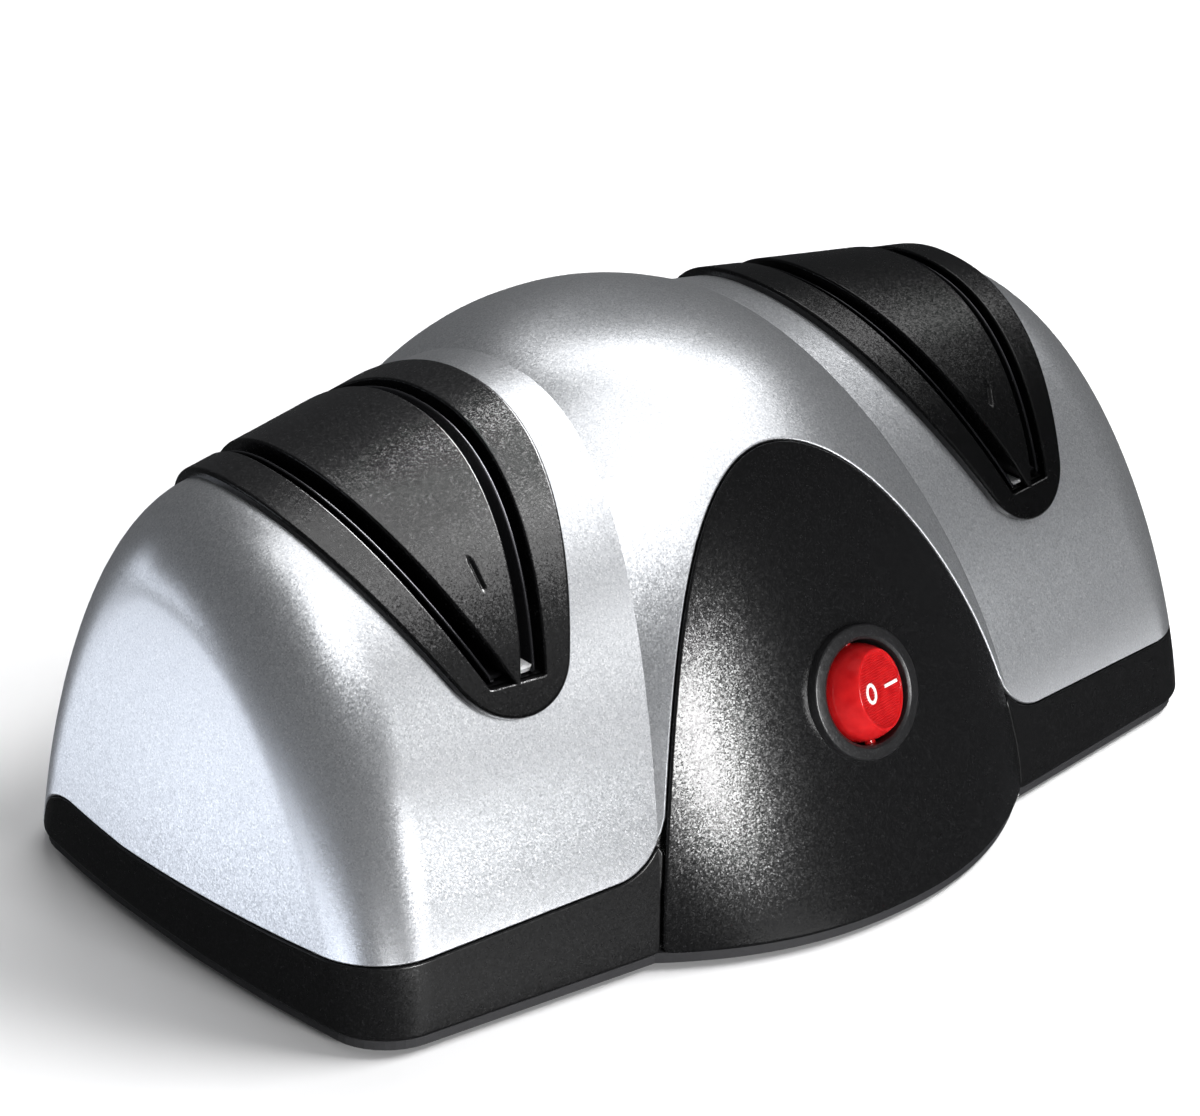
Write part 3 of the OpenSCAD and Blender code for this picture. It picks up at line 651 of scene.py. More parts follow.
def lips(shape, pts, faces, corner, radii, depth=2.2, steps=5, wall=None, mat=0, rules=None, act=None):
    """Rounded border and a wall going in, along every border loop of the piece."""
    vn = np.zeros_like(pts)
    for f, c in zip(faces, corner):
        for v, n in zip(f, c):
            vn[v] += n
    vn = unit(vn)
    result = []
    for loop in loops_of(faces):
        if len(loop) < 8:
            continue
        p, n, r = pts[loop], vn[loop], radii[loop]
        a = act[loop] if act is not None else None
        t = unit(np.roll(p, -1, 0) - np.roll(p, 1, 0))
        # direction over about a millimetre, so that short border edges don't tilt it
        seg = np.linalg.norm(np.roll(p, -1, 0) - p, axis=1)
        t = unit(smooth_loop(t * (seg + np.roll(seg, 1))[:, None], 2))
        b = unit(np.cross(t, n))
        b = unit(b - (b * n).sum(-1, keepdims=True) * n)
        rr = smooth_loop(r.astype(float), 3)[:, None]
        rings, normals = [], []
        for k in range(steps + 1):
            th = math.pi / 2 * k / steps
            rings.append(p + b * rr * math.sin(th) - n * rr * (1 - math.cos(th)))
            normals.append(n * math.cos(th) + b * math.sin(th))
        if wall is None:
            low = rings[-1] - n * (depth - rr)
        else:
            low = wall(rings[-1], n, rr, a)
        rings.append(low)
        normals.append(b)
        shape.strip(rings, normals, True, mat, flip=True)
        result.append((loop, rings, normals, a))
    return result


# ---------------------------------------------------------- lines on the body
def line_silver(P):
    """Positive below the line between the silver housing and the base."""
    x, y, z = np.abs(P[..., 0]), P[..., 1], P[..., 2]
    cx, cz, R = 50.4, 25.8, 11.2
    d = np.hypot(x - cx, z - cz) + 1e-9
    zc = cz + (z - cz) / d * R
    dc = np.hypot(x - 39.76, z - 22.3)
    arcv = np.where(zc < 22.3, d - R, np.where(z >= 22.3, -dc, 22.3 - z))
    left = np.where(z >= 22.3, 22.3 - z, np.minimum(22.3 - z, np.where(zc < 22.3, d - R, 99.0)))
    front = np.where(x > cx, 14.6 - 0.045 * (x - cx) - z, np.where(x < 39.76, left, arcv))
    bf = np.where(x > cx, 14.6 - 0.045 * (x - cx), 14.6)
    k = np.clip((y + 45) / 50, 0, 1)
    side = bf + (10.2 - bf) * k + 0.5 * np.clip((y - 5) / 17, 0, 1) - z
    rear = (1 - np.hypot((y - 22) / 12.5, z / 10.7)) * 11.5
    return np.where(y < -45, front, np.where(y < 22, side, rear))


def line_panel(P):
    """Positive outside the front panel."""
    x, y, z = P[..., 0], P[..., 1], np.maximum(P[..., 2], 0)
    u, v = np.abs(x) / PANEL_W, z / PANEL_H
    F = u * u + v ** 1.6 - 1
    gx = 2 * u / PANEL_W
    gz = 1.6 * v ** 0.6 / PANEL_H
    d = F / np.maximum(np.sqrt(gx * gx + gz * gz), 0.004)
    return np.where(y < -4, d, 40.0)


V_SLOPE = 0.5286
V_ANG = math.atan(V_SLOPE)
V_W, V_LOW = 9.9, 44.3
V_ZC = (V_LOW - V_SLOPE * math.cos(V_ANG) * SZ + V_W * math.cos(V_ANG)) / (1 - V_SLOPE * math.cos(V_ANG))
V_R = V_ZC - V_LOW


def line_v(P):
    """Positive outside the rounded V of a slot insert."""
    x, z = np.abs(np.abs(P[..., 0]) - STAGE), P[..., 2]
    circle = np.hypot(x, z - V_ZC) - V_R
    line = (x - V_W - V_SLOPE * (z - SZ)) * math.cos(V_ANG)
    along = x * math.sin(V_ANG) + (z - V_ZC) * math.cos(V_ANG)
    return np.where(along < 0, circle, line)


def floor_line(P):
    return -P[..., 2]


def switch_local(P):
    """x, y (up along the panel) and z (out of the panel) of the switch's own frame."""
    d = P - np.array([0, SWITCH_Y, SWITCH_Z])
    c, s = math.cos(math.pi / 2 - SWITCH_T), math.sin(math.pi / 2 - SWITCH_T)
    return np.stack([d[..., 0], d[..., 1] * c + d[..., 2] * s, -d[..., 1] * s + d[..., 2] * c], -1)


def switch_world(Q):
    Q = np.asarray(Q, float)
    c, s = math.cos(math.pi / 2 - SWITCH_T), math.sin(math.pi / 2 - SWITCH_T)
    return np.stack([Q[..., 0], Q[..., 1] * c - Q[..., 2] * s + SWITCH_Y, Q[..., 1] * s + Q[..., 2] * c + SWITCH_Z], -1)


def switch_hole(r):
    def f(P):
        q = switch_local(P)
        return np.where(P[..., 1] < -20, r - np.hypot(q[..., 0], q[..., 1]), -40.0)
    return f


def gland_disc(r):
    def f(P):
        c, s = math.cos(-math.pi / 2 + GLAND_T), math.sin(-math.pi / 2 + GLAND_T)
        dy, dz = P[..., 1] - GLAND_Y, P[..., 2] - GLAND_Z
        return np.where(P[..., 1] > 20, r - np.hypot(P[..., 0], dy * c + dz * s), -40.0)
    return f


def neg(f):
    return lambda P: -f(P)


GRID = Grid(housing_sections())
KD = kdtree.KDTree(len(GRID.P))
for i, v in enumerate(GRID.P):
    KD.insert(v, i)
KD.balance()


def inner_faces(node, keep):
    """The faces of a CAD node that lie inside it: keep(points, depth) says which corners may stay."""
    me = NODES[node].data
    co = np.zeros(len(me.vertices) * 3)
    me.vertices.foreach_get("co", co)
    co = co.reshape(-1, 3) * 1000 - SHIFT
    depth = np.zeros(len(co))
    for i, v in enumerate(co):
        _, k, _ = KD.find(v)
        depth[i] = (GRID.P[k] - v) @ GRID.V[k]
    faces, corner = [], []
    for poly in me.polygons:
        ids = list(poly.vertices)
        if keep(co[ids], depth[ids], np.array(poly.normal)):
            faces.append(ids)
            corner.append(np.array([poly.normal] * len(ids)))
    used = sorted({v for f in faces for v in f})
    remap = {v: k for k, v in enumerate(used)}
    return co[used], [[remap[v] for v in f] for f in faces], corner


def report(name, ob):
    me = ob.data
    print("PIECE", name, len(me.vertices), "points", len(me.polygons), "faces")


# ------------------------------------------------------------ upper shell
def make_shell():
    s = Shape()
    rules = [(line_silver, 0.15, 0.35), (neg(line_panel), 0.15, 0.35), (neg(line_v), 0.15, 0.3),
             (floor_line, 0.05, 0.5), (gland_disc(7.4), 0.0, 0.35)]
    pts, faces, corner, rad, act = cut_grid(GRID, rules)
    s.add(pts, faces, corner)
    lips(s, pts, faces, corner, rad, 2.5)
    p, f, c = inner_faces("upper_shell", lambda v, d, n: d.min() > 1.0)
    s.add(p, f, c)
    ob = s.build("housing_shell", [MAT["silver_paint"]])
    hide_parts("upper_shell")
    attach(ob, "housing")
    report("shell", ob)


def make_base():
    s = Shape()
    rules = [(neg(line_silver), 0.15, 0.35), (neg(line_panel), 0.15, 0.35), (floor_line, 0.0, 0.9)]
    pts, faces, corner, rad, act = cut_grid(GRID, rules)
    s.add(pts, faces, corner)
    lips(s, pts, faces, corner, rad, 2.5)
    p, f, c = inner_faces("base_tray", lambda v, d, n: d.min() > 1.0 or (n[2] < -0.9 and v[:, 2].max() < 0.2 and d.min() > 0.5))
    s.add(p, f, c)
    ob = s.build("base_band", [MAT["base_black"]])
    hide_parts("base_tray")
    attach(ob, "housing")
    report("base", ob)


def make_panel():
    s = Shape()
    rules = [(line_panel, 0.15, 0.6), (floor_line, 0.0, 0.9), (switch_hole(10.6), 0.0, 0.2)]
    pts, faces, corner, rad, act = cut_grid(GRID, rules)
    s.add(pts, faces, corner)
    lips(s, pts, faces, corner, rad, 2.5)
    p, f, c = inner_faces("front_panel", lambda v, d, n: d.min() > 1.0)
    s.add(p, f, c)
    ob = s.build("panel_front", [MAT["black_plastic"]])
    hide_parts("front_panel")
    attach(ob, "housing")
    report("panel", ob)


make_shell()
make_base()
make_panel()

# ------------------------------------------------------------ slot inserts
def off_x(a, z):
    return a + TILT * (z - SZ)


def smooth01(t):
    t = np.clip(t, 0, 1)
    return t * t * (3 - 2 * t)


def insert_grid(strokes):
    xs = np.concatenate([np.linspace(33.5, 56, 34), np.linspace(56, 62.8, 35)[1:], np.linspace(62.8, 85.5, 34)[1:]])
    a = np.sort(np.concatenate([np.linspace(-1.2, 1.2, 300), np.linspace(-0.95, -0.72, 90)]))
    X, A = np.meshgrid(xs, a, indexing="ij")
    y, z = arch(A, X, 0.0)
    ny, nz = arch_n(y, z, X, 0.0)
    dx = np.abs(X - STAGE)
    crown = smooth01((z - SZ + 1) / 5) * (dx < off_x(HS + SW / 2, z))
    o = 1.6 + 0.4 * crown
    p = np.stack([X, y + ny * o, z + nz * o], -1)
    for (x0, z0, x1, z1) in strokes:
        q = np.stack([p[..., 0], p[..., 2]], -1)
        u, v = np.array([x0, z0]), np.array([x1, z1])
        t = np.clip(((q - u) @ (v - u)) / ((v - u) @ (v - u)), 0, 1)
        d = np.linalg.norm(q - u - t[..., None] * (v - u), axis=-1)
        g = 0.45 * (1 - smooth01(d / 0.55)) * (p[..., 1] < 0)
        p[..., 1] -= ny * g
        p[..., 2] -= nz * g
    return p


def slot_region(P):
    """Positive inside a slot, in the plane across it."""
    dx, z = np.abs(np.abs(P[..., 0]) - STAGE), P[..., 2]
    c = 1 / math.sqrt(1 + TILT * TILT)
    return np.minimum(np.minimum((dx - off_x(HS, z)) * c, (off_x(HS + SW, z) - dx) * c), z - SZ)


def make_insert(side, strokes):
    p = insert_grid(strokes)
    if side < 0:
        p = p.copy()
        p[..., 0] *= -1
    g = Grid([p])
    rules = [(line_v, 0.05, 0.7), (slot_region, 0.0, 0.45)]
    pts, faces, corner, rad, act = cut_grid(g, rules)
    s = Shape()
    s.add(pts, faces, corner)
    pocket = lambda q: 25.2 - np.hypot(q[..., 1], q[..., 2] - 38.0)

    def wall(ring, n, rr, a):
        """Border of the V goes in along the normal; borders of a slot go down the slot's own walls."""
        dx = np.abs(np.abs(ring[:, 0]) - STAGE)
        down = ring - n * (4.2 - rr)
        z = ring[:, 2]
        slot = (a == 1)
        inner = np.abs(dx - off_x(HS, z)) < np.abs(dx - off_x(HS + SW, z))
        tgt = np.where(inner, HS, HS + SW)
        sx = np.sign(np.abs(ring[:, 0]) - STAGE)
        sx[sx == 0] = 1
        q = ring.copy()
        q[:, 0] = np.sign(ring[:, 0]) * (STAGE + sx * tgt)
        q[:, 2] = SZ - 0.02
        end = z < SZ + 1.0
        q[end & slot] = ring[end & slot] + np.array([0, 6.0, 0]) * -np.sign(ring[end & slot][:, 1:2]) - np.array([0, 0, 0.05])
        return np.where(slot[:, None], q, down)

    info = lips(s, pts, faces, corner, rad, 4.2, 4, wall, act=act)
    # floors of the two slots, open over the wheel
    for sx in (1, -1):
        x0, x1 = STAGE + sx * (HS - 0.3), STAGE + sx * (HS + SW + 0.3)
        for lo, hi in ((-52.0, -22.5), (22.5, 40.0)):
            xs = np.linspace(x0, x1, 3)
            ys = np.linspace(lo, hi, 24)
            X, Y = np.meshgrid(xs, ys, indexing="ij")
            # stop under the surface
            yf = np.array([front_y(x, SZ) for x in xs])
            Y = np.where(Y < 0, np.maximum(Y, yf[:, None] + 0.5), np.minimum(Y, -yf[:, None] * back_k(STAGE) - 0.5))
            Q = np.stack([side * X, Y, np.full_like(X, SZ)], -1)
            n = np.tile([0, 0, 1.0], (len(xs) * len(ys), 1))
            f = []
            m = len(ys)
            for i in range(len(xs) - 1):
                for j in range(m - 1):
                    f.append([i * m + j, (i + 1) * m + j, (i + 1) * m + j + 1, i * m + j + 1])
            if side * sx < 0:
                f = [k[::-1] for k in f]
            s.add(Q.reshape(-1, 3), f, [[n[0]] * 4] * len(f))
    node = "slot_insert_right" if side > 0 else "slot_insert_left"

    def keep(v, d, n):
        if d.min() < -1.0:
            return False
        if n[2] > 0.9 and abs(v[:, 2] - SZ).max() < 0.1:
            return False
        dx = np.abs(np.abs(v[:, 0]) - STAGE)
        c1 = np.abs(dx - off_x(HS, v[:, 2])).max() < 0.1
        c2 = np.abs(dx - off_x(HS + SW, v[:, 2])).max() < 0.1
        return not (c1 or c2)

    q, f, c = inner_faces(node, keep)
    s.add(q, f, c)
    ob = s.build("saddle_right" if side > 0 else "saddle_left", [MAT["black_plastic"]])
    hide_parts(node)
    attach(ob, "housing")
    report(node, ob)


def front_y(x, z):
    """Front of the wing at the height z, raised by the flange."""
    h = ridge(x, 0)
    y = -half_w(x, 0) * max(0.0, 1 - (z / h) ** QW) ** (1 / PW)
    ny, nz = arch_n(np.array(y), np.array(z), x, 0)
    return y + float(ny) * 1.6 * 1.0


make_insert(1, [(59.9, 64.4, 58.1, 62.3)])
make_insert(-1, [(58.55, 65.5, 58.75, 62.2)])


# ------------------------------------------------------- pieces turned or swept
def rounded(profile, steps=4):
    """A polyline whose corners are rounded: profile is (x, z, radius)."""
    out = []
    n = len(profile)
    for k, (x, z, r) in enumerate(profile):
        p = np.array([x, z], float)
        if r <= 0 or k in (0, n - 1):
            out.append(p)
            continue
        a = np.array(profile[k - 1][:2], float) - p
        b = np.array(profile[k + 1][:2], float) - p
        la, lb = np.linalg.norm(a), np.linalg.norm(b)
        a, b = a / la, b / lb
        half = 0.5 * math.acos(max(-1, min(1, float(a @ b))))
        t = min(r / math.tan(half), 0.48 * la, 0.48 * lb)
        p0, p1 = p + a * t, p + b * t
        for i in range(steps + 1):
            u = i / steps
            out.append((1 - u) ** 2 * p0 + 2 * u * (1 - u) * p + u * u * p1)
    return out


def mesh_object(name, verts, faces, mats, index=None, sharp=38):
    me = bpy.data.meshes.new(name)
    me.from_pydata([tuple(v) for v in verts], [], faces)
    if index is not None:
        me.polygons.foreach_set("material_index", index)
    for m in mats:
        me.materials.append(m)
    me.validate()
    me.shade_smooth()
    me.set_sharp_from_angle(angle=math.radians(sharp))
    me.update()
    ob = bpy.data.objects.new(name, me)
    bpy.context.scene.collection.objects.link(ob)
    return ob


def turned(profile, seg=128):
    """Points and faces of a profile turned round the Z axis; a point on the axis becomes one point."""
    verts, faces, rings = [], [], []
    for x, z in profile:
        if abs(x) < 1e-6:
            verts.append((0, 0, z))
            rings.append([len(verts) - 1] * seg)
        else:
            b = len(verts)
            verts += [(x * math.cos(2 * math.pi * i / seg), x * math.sin(2 * math.pi * i / seg), z) for i in range(seg)]
            rings.append(list(range(b, b + seg)))
    for r0, r1 in zip(rings, rings[1:]):
        for i in range(seg):
            j = (i + 1) % seg
            f = [r0[i], r0[j], r1[j], r1[i]]
            g = [v for k, v in enumerate(f) if v != f[k - 1]]
            if len(g) >= 3:
                faces.append(g)
    return verts, faces


def combine(parts):
    verts, faces, index = [], [], []
    for v, f, m in parts:
        b = len(verts)
        verts += list(v)
        faces += [[b + k for k in q] for q in f]
        index += [m] * len(f)
    return np.array(verts, float), faces, index


# ------------------------------------------------------------------ switch
def make_bezel():
    prof = rounded([(11.0, -2.6, 0), (11.5, -2.4, 0), (11.5, 1.05, 0.0), (11.36, 1.28, 0.0), (11.1, 1.38, 0.0),
                    (9.55, 1.6, 0.25), (8.98, 1.25, 0.25), (8.9, 0.2, 0), (8.9, -0.5, 0.1), (9.25, -0.55, 0.1),
                    (9.25, -12.0, 0.3), (0.0, -12.0, 0)])
    v, f = turned(prof, 144)
    low = rounded([(0.0, -13.5, 0), (10.1, -13.5, 0.4), (10.1, -2.6, 0), (11.0, -2.6, 0)])
    v2, f2 = turned(low, 144)
    verts, faces, index = combine([(v, f, 0), (v2, f2, 0)])
    faces = [q[::-1] for q in faces]
    ob = mesh_object("switch_ring", metres(switch_world(verts)), faces, [MAT["switch_black"]])
    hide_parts("switch_bezel")
    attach(ob, "housing")


ROCK_Z, ROCK_R, ROCK_H = -1.4, 8.4, 4.8
ROCK_TILT = math.radians(18)


def make_rocker():
    rim = math.sqrt(ROCK_R ** 2 - ROCK_H ** 2)
    a0, a1 = math.asin(-3.4 / ROCK_R), math.asin(ROCK_H / ROCK_R)
    arc = [(ROCK_R * math.cos(a), ROCK_R * math.sin(a)) for a in np.linspace(a0, a1, 30)]
    # rim rounded over to a narrow land, then down to the ribbed face
    prof = [(0.0, -3.4)] + [(x * (arc[0][0] / 8), -3.4) for x in (4, 7.6)] + arc[:-1]
    prof += [tuple(q) for q in rounded([arc[-2] + (0,), (rim, ROCK_H, 0.16), (rim - 0.42, ROCK_H, 0.1), (6.42, ROCK_H - 0.2, 0.05), (6.3, ROCK_H - 0.2, 0)], 3)][1:]
    v, f = turned(prof, 128)
    f = [q for q in f]
    # ribbed face: fine ribs along X
    pitch, base = 0.45, ROCK_H - 0.2
    R = 6.3
    rows = int(2 * R / pitch) * 5
    cols = 40
    ys = np.linspace(-R * 0.999, R * 0.999, rows + 1)
    gv, gf = [], []
    for y in ys:
        w = math.sqrt(max(R * R - y * y, 0))
        ph = abs(((y / pitch) % 1.0) - 0.5) * 2
        for k in range(cols + 1):
            x = -w + 2 * w * k / cols
            edge = min(1.0, (R - math.hypot(x, y)) / 0.25)
            z = base - 0.14 * (1 - ph ** 1.5) * max(0.0, edge) - 0.22 * (1 - (x / R) ** 2 - (y / R) ** 2)
            gv.append((x, y, z))
    for i in range(rows):
        for k in range(cols):
            a = i * (cols + 1) + k
            gf.append([a, a + 1, a + cols + 2, a + cols + 1])
    face_z = lambda x, y: base - 0.22 * (1 - (x * x + y * y) / R / R)
    # marks: a ring and a bar, standing a little over the ribs
    mv, mf = [], []

    def closed_strip(rings):
        b = len(mv)
        n = len(rings[0])
        for r in rings:
            mv.extend(r)
        for k in range(len(rings) - 1):
            for i in range(n):
                j = (i + 1) % n
                mf.append([b + k * n + i, b + k * n + j, b + (k + 1) * n + j, b + (k + 1) * n + i])
        return b, n

    cx, n = -2.7, 72
    sect = [(0.30, -0.14), (0.30, 0.02), (0.24, 0.07), (-0.24, 0.07), (-0.30, 0.02), (-0.30, -0.14)]
    rings = []
    for dr, dz in sect:
        rings.append([(cx + (1.36 + dr) * math.cos(t), (1.5 + dr) * math.sin(t),
                       face_z(cx + 1.36 * math.cos(t), 1.5 * math.sin(t)) + dz)
                      for t in np.linspace(0, 2 * math.pi, n, endpoint=False)])
    closed_strip(rings)
    bar = []
    hx, hy, rc = 2.0, 0.27, 0.12
    for q in range(4):
        sx, sy = ((1, 1), (-1, 1), (-1, -1), (1, -1))[q]
        for t in np.linspace(q * math.pi / 2, (q + 1) * math.pi / 2, 5):
            bar.append((sx * (hx - rc) + rc * math.cos(t), sy * (hy - rc) + rc * math.sin(t)))
    bx = 3.95
    rings = []
    for sc, dz in ((1.0, -0.14), (1.0, 0.03), (0.94, 0.07)):
        rings.append([(bx + x * (1 if sc == 1 else (hx - 0.05) / hx), y * (1 if sc == 1 else (hy - 0.05) / hy), face_z(bx + x, 0) + dz) for x, y in bar])
    b, m = closed_strip(rings)
    mf.append([b + 2 * m + i for i in range(m)])
    parts = [(v, f, 0), (gv, gf, 0), (mv, mf, 1)]
    verts, faces, index = combine(parts)
    # pins
    for s in (1, -1):
        pv, pf = turned(rounded([(0, 0, 0), (0.98, 0, 0), (0.98, 1.55, 0.2), (0, 1.55, 0)]), 24)
        pv = [(x, s * (8.3 + z), y) for x, y, z in pv]
        c, sn = math.cos(-ROCK_TILT), math.sin(-ROCK_TILT)
        b = len(verts)
        verts = np.concatenate([verts, np.array(pv)])
        faces += [[b + k for k in (q if s > 0 else q[::-1])] for q in pf]
        index += [0] * len(pf)
    c, sn = math.cos(ROCK_TILT), math.sin(ROCK_TILT)
    x, y, z = verts[:, 0], verts[:, 1], verts[:, 2]
    verts = np.stack([x * c + z * sn, y, -x * sn + z * c + ROCK_Z], -1)
    ob = mesh_object("rocker_button", metres(switch_world(verts)), faces, [MAT["switch_red"], MAT["switch_white"]], index, 42)
    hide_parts("switch_rocker")
    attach(ob, "rocker")


make_bezel()
make_rocker()


# ------------------------------------------------------------- guide plates
def wing_z(x, y, o):
    w = half_w(x, 0) * (back_k(x) if y > 0 else 1.0)
    t = min(abs(y) / w, 1.0)
    z = ridge(x, 0) * (1 - t ** PW) ** (1 / QW)
    ny, nz = arch_n(np.array(y), np.array(z), x, 0)
    return z + o / max(float(nz), 0.35)


GUIDE = HS + 2.6


def make_guide(side, s, node, body, name):
    g0, th = GUIDE, 0.7
    top_at = lambda y: 0
    rows = []
    ys = np.concatenate([np.linspace(-50, -40, 30), np.linspace(-40, 30, 130)[1:], np.linspace(30, 38, 25)[1:]])
    for y in ys:
        z = 75.0
        for _ in range(25):
            x = STAGE + s * off_x(g0 + th / 2, z)
            z = 0.5 * z + 0.5 * wing_z(x, y, 0.9)
        zc = 38 + math.sqrt(max(25.2 ** 2 - y * y, 0)) if abs(y) < 25.2 else 0
        zb = max(SZ + 0.45, zc)
        rows.append((y, zb, z))
    rows = [r for r in rows if r[2] > r[1] + 0.25]
    # cross-section in the plane over Y: (side of the plate, height)
    arcs = [(0.5 * th * math.cos(t), 0.5 * th * math.sin(t)) for t in np.linspace(0, math.pi, 9)]
    verts, faces, index = [], [], []
    n = 0
    for y, zb, zt in rows:
        sec = [(g0 + th, zb)]
        for cx, cz in arcs:
            sec.append((g0 + th / 2 + cx, zt - th / 2 + cz))
        sec.append((g0, zb))
        n = len(sec)
        for a, z in sec:
            verts.append((side * (STAGE + s * off_x(a, z)), y, z))
    for k in range(len(rows) - 1):
        for i in range(n):
            j = (i + 1) % n
            faces.append([k * n + i, k * n + j, (k + 1) * n + j, (k + 1) * n + i])
            index.append(0)
    faces.append(list(range(n))[::-1])
    index.append(0)
    b = (len(rows) - 1) * n
    faces.append([b + i for i in range(n)])
    index.append(0)
    # feet bent towards the saddle
    for lo, hi in ((None, -39.5), (28.5, None)):
        ends = [r[0] for r in rows]
        y0 = min(ends) + 0.6 if lo is None else lo
        y1 = max(ends) - 0.6 if hi is None else hi
        sect = [(g0 - 2.2, SZ + 0.5), (g0 - 2.2, SZ + 1.05), (g0 - 2.1, SZ + 1.15), (g0 - 0.25, SZ + 1.15), (g0 + 0.05, SZ + 1.5), (g0 + 0.05, SZ + 0.45)]
        b = len(verts)
        m = len(sect)
        for y in (y0, y0 + 0.15, y1 - 0.15, y1):
            for a, z in sect:
                verts.append((side * (STAGE + s * off_x(a, z)), y, z))
        for k in range(3):
            for i in range(m):
                j = (i + 1) % m
                faces.append([b + k * m + i, b + k * m + j, b + (k + 1) * m + j, b + (k + 1) * m + i])
                index.append(1)
        faces.append([b + i for i in range(m)][::-1])
        faces.append([b + 3 * m + i for i in range(m)])
        index += [1, 1]
    if side * s > 0:
        faces = [f[::-1] for f in faces]
    # the feet of the inner guides get a pale material as a painted glint; the feet of the outer guides keep the dark
    # plate material
    ob = mesh_object(name, metres(np.array(verts)), faces, [MAT["guide_dark"], MAT["foot_painted_glint"] if "inner" in node else MAT["guide_dark"]], index, 50)
    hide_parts(node)
    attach(ob, body)


make_guide(1, 1, "guide_right_outer", "guide_ro", "plate_right_outer")
make_guide(1, -1, "guide_right_inner", "guide_ri", "plate_right_inner")
make_guide(-1, 1, "guide_left_outer", "guide_lo", "plate_left_outer")
make_guide(-1, -1, "guide_left_inner", "guide_li", "plate_left_inner")

# --------------------------------------------------- materials of CAD nodes
SLOT_OF = {s["node"]: s["material_slot"] for s in frame["record"]["subparts"]}
for name, ob in NODES.items():
    if ob.hide_render:
        continue
    m = MAT.get(SLOT_OF.get(name), MAT["grey_plastic"])
    if ob.material_slots:
        for sl in ob.material_slots:
            sl.material = m
    else:
        ob.data.materials.append(m)

# ------------------------------------------------------------------- stage
me = bpy.data.meshes.new("floor")
R = 6.0
me.from_pydata([(-R, -R, 0), (R, -R, 0), (R, R, 0), (-R, R, 0)], [], [(0, 1, 2, 3)])
me.materials.append(mat_floor())
floor = bpy.data.objects.new("floor", me)
bpy.context.scene.collection.objects.link(floor)

floor.visible_glossy = False
floor.visible_shadow = False

world = bpy.data.worlds.new("studio")
bpy.context.scene.world = world
world.use_nodes = True
bg = world.node_tree.nodes["Background"]
bg.inputs[0].default_value = (0.93, 0.96, 1.0, 1)
bg.inputs[1].default_value = 0.045
bpy.context.scene.view_settings.view_transform = "Standard"


def softbox(name, az, el, dist, size, power, colour=(1, 1, 1), size_y=None, at=(0, 0, 0.04)):
    """A soft light; azimuth from the front, positive towards the right end."""
    a, e = math.radians(az), math.radians(el)
    where = (math.sin(a) * math.cos(e) * dist + at[0], -math.cos(a) * math.cos(e) * dist + at[1], math.sin(e) * dist + at[2])
    o = area(name, where, at, size, power, colour, size_y)
    o.visible_camera = False
    return o


def lit_only(lights, things, name):
    group = bpy.data.collections.new(name)
    for t in things:
        group.objects.link(t)
    for l in lights:
        l.light_linking.receiver_collection = group


COOL = (0.86, 0.91, 1.0)
WHITE = (1, 1, 1)
silver_lights = [softbox("s_" + str(k), *v) for k, v in enumerate([
    (0, 88, 1.1, 0.7, 2.8),
    (5, -20, 0.9, 0.42, 2.2, WHITE, 0.26),
    (-33, -20, 0.9, 0.28, 1.2, WHITE, 0.34),
    (60, -20, 0.9, 0.42, 0.5, WHITE, 0.26),
    (3, 8, 0.9, 0.26, 1.1, WHITE, 0.2),
    (38, 8, 0.9, 0.26, 0.35, WHITE, 0.2),
    (80, 56, 0.9, 0.6, 1.5, WHITE, 0.5),
    (112, 56, 0.9, 0.42, 0.7, WHITE, 0.34),
    (145, 56, 0.9, 0.42, 1.0, WHITE, 0.34),
    (45, 56, 0.9, 0.42, 0.4, WHITE, 0.34),
    (-12, 60, 0.9, 0.55, 1.6, WHITE, 0.36),
    (25, 30, 0.9, 0.36, 0.6, WHITE, 0.30),
    (-140, 1, 0.9, 0.6, 0.5, COOL, 0.16),
    (-73, -18, 0.9, 0.28, 0.75, COOL, 0.34),
    (-92, -18, 0.9, 0.36, 0.75, COOL, 0.34),
    (-122, -20, 0.9, 0.42, 0.7, COOL, 0.26),
    (-150, -20, 0.9, 0.42, 0.5, COOL, 0.26),
])]
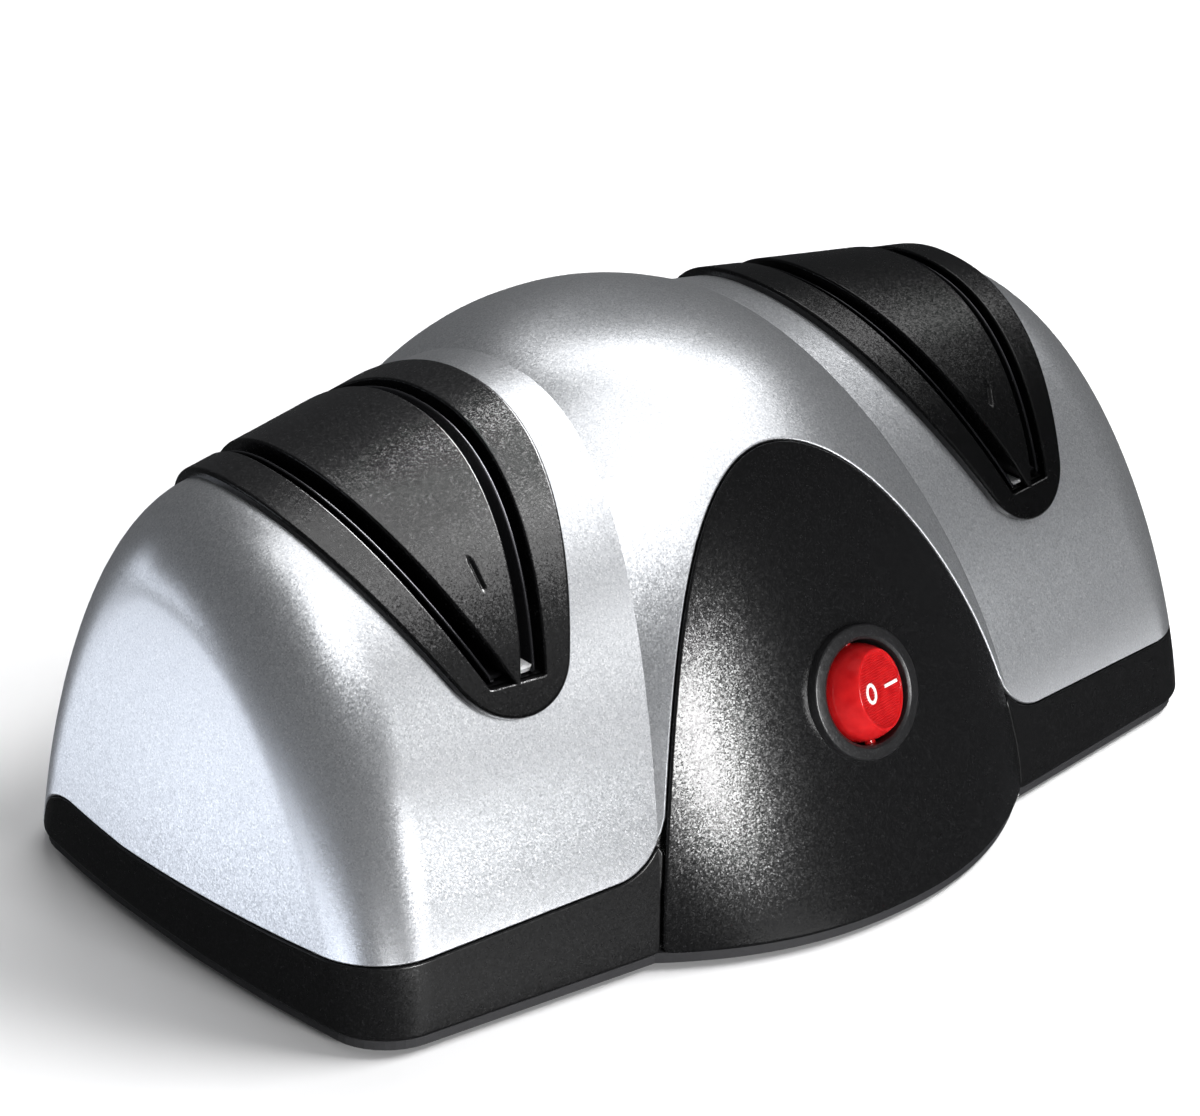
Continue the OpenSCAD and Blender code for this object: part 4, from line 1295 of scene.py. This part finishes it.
# an even, weak light from all sides
silver_lights += [softbox("a_" + str(k), az, el, 2.4, 4.6, 3.2) for k, (az, el) in enumerate(
    [(0, 0), (90, 0), (180, 0), (-90, 0), (0, 89.9), (0, -89.9)])]


def saddle_set(name, k):
    return [softbox(name + str(i), *v) for i, v in enumerate([
        (0, 88, 1.1, 0.7, 1.2 * k),
        (85, 50, 0.9, 0.42, 3.0 * k, WHITE, 0.34),
        (112, 46, 0.9, 0.42, 3.6 * k, WHITE, 0.34),
        (45, 56, 0.9, 0.42, 0.5 * k, WHITE, 0.34),
        (25, 30, 0.9, 0.36, 0.15, WHITE, 0.30),
        (3, 8, 0.9, 0.26, 0.2, WHITE, 0.2),
        (-120, 12, 0.9, 0.3, 0.3, COOL, 0.2),
    ])]


left_lights = saddle_set("vl_", 3.4)
right_lights = saddle_set("vr_", 0.26)
dark_lights = [softbox("d_" + str(k), *v) for k, v in enumerate([
    (0, 88, 1.1, 0.7, 0.3),
    (-8, 18, 0.9, 0.18, 10.0, WHITE, 0.42),
    (5, -20, 0.9, 0.42, 0.35, WHITE, 0.26),
    (133, -26, 0.9, 0.5, 5.0, WHITE, 0.3),
    (-120, 12, 0.9, 0.3, 0.4, COOL, 0.2),
])]
floor_lights = [softbox("f_" + str(k), *v) for k, v in enumerate([
    (60, 52, 0.95, 0.45, 9.5, WHITE, 0.36),
    (0, 8, 0.9, 0.28, 8.9, WHITE, 0.2),
    (0, 80, 2.0, 1.5, 6.0),
    (-180, 8, 0.9, 0.28, 3.8, WHITE, 0.2),
    (135, 56, 0.9, 0.5, 2.5, WHITE, 0.36),
])]
things = [o for o in bpy.context.scene.objects if o.type == "MESH"]
silver_things = [o for o in things if o.name == "housing_shell"]
left_things = [o for o in things if o.name.startswith(("saddle_left", "plate_left"))]
right_things = [o for o in things if o.name.startswith(("saddle_right", "plate_right"))]
dark_things = [o for o in things if o not in silver_things + left_things + right_things + [floor]]
lit_only(silver_lights, silver_things, "lit_silver")
lit_only(left_lights, left_things, "lit_left")
lit_only(right_lights, right_things, "lit_right")
lit_only(dark_lights, dark_things, "lit_dark")
lit_only(floor_lights, [floor], "lit_floor")

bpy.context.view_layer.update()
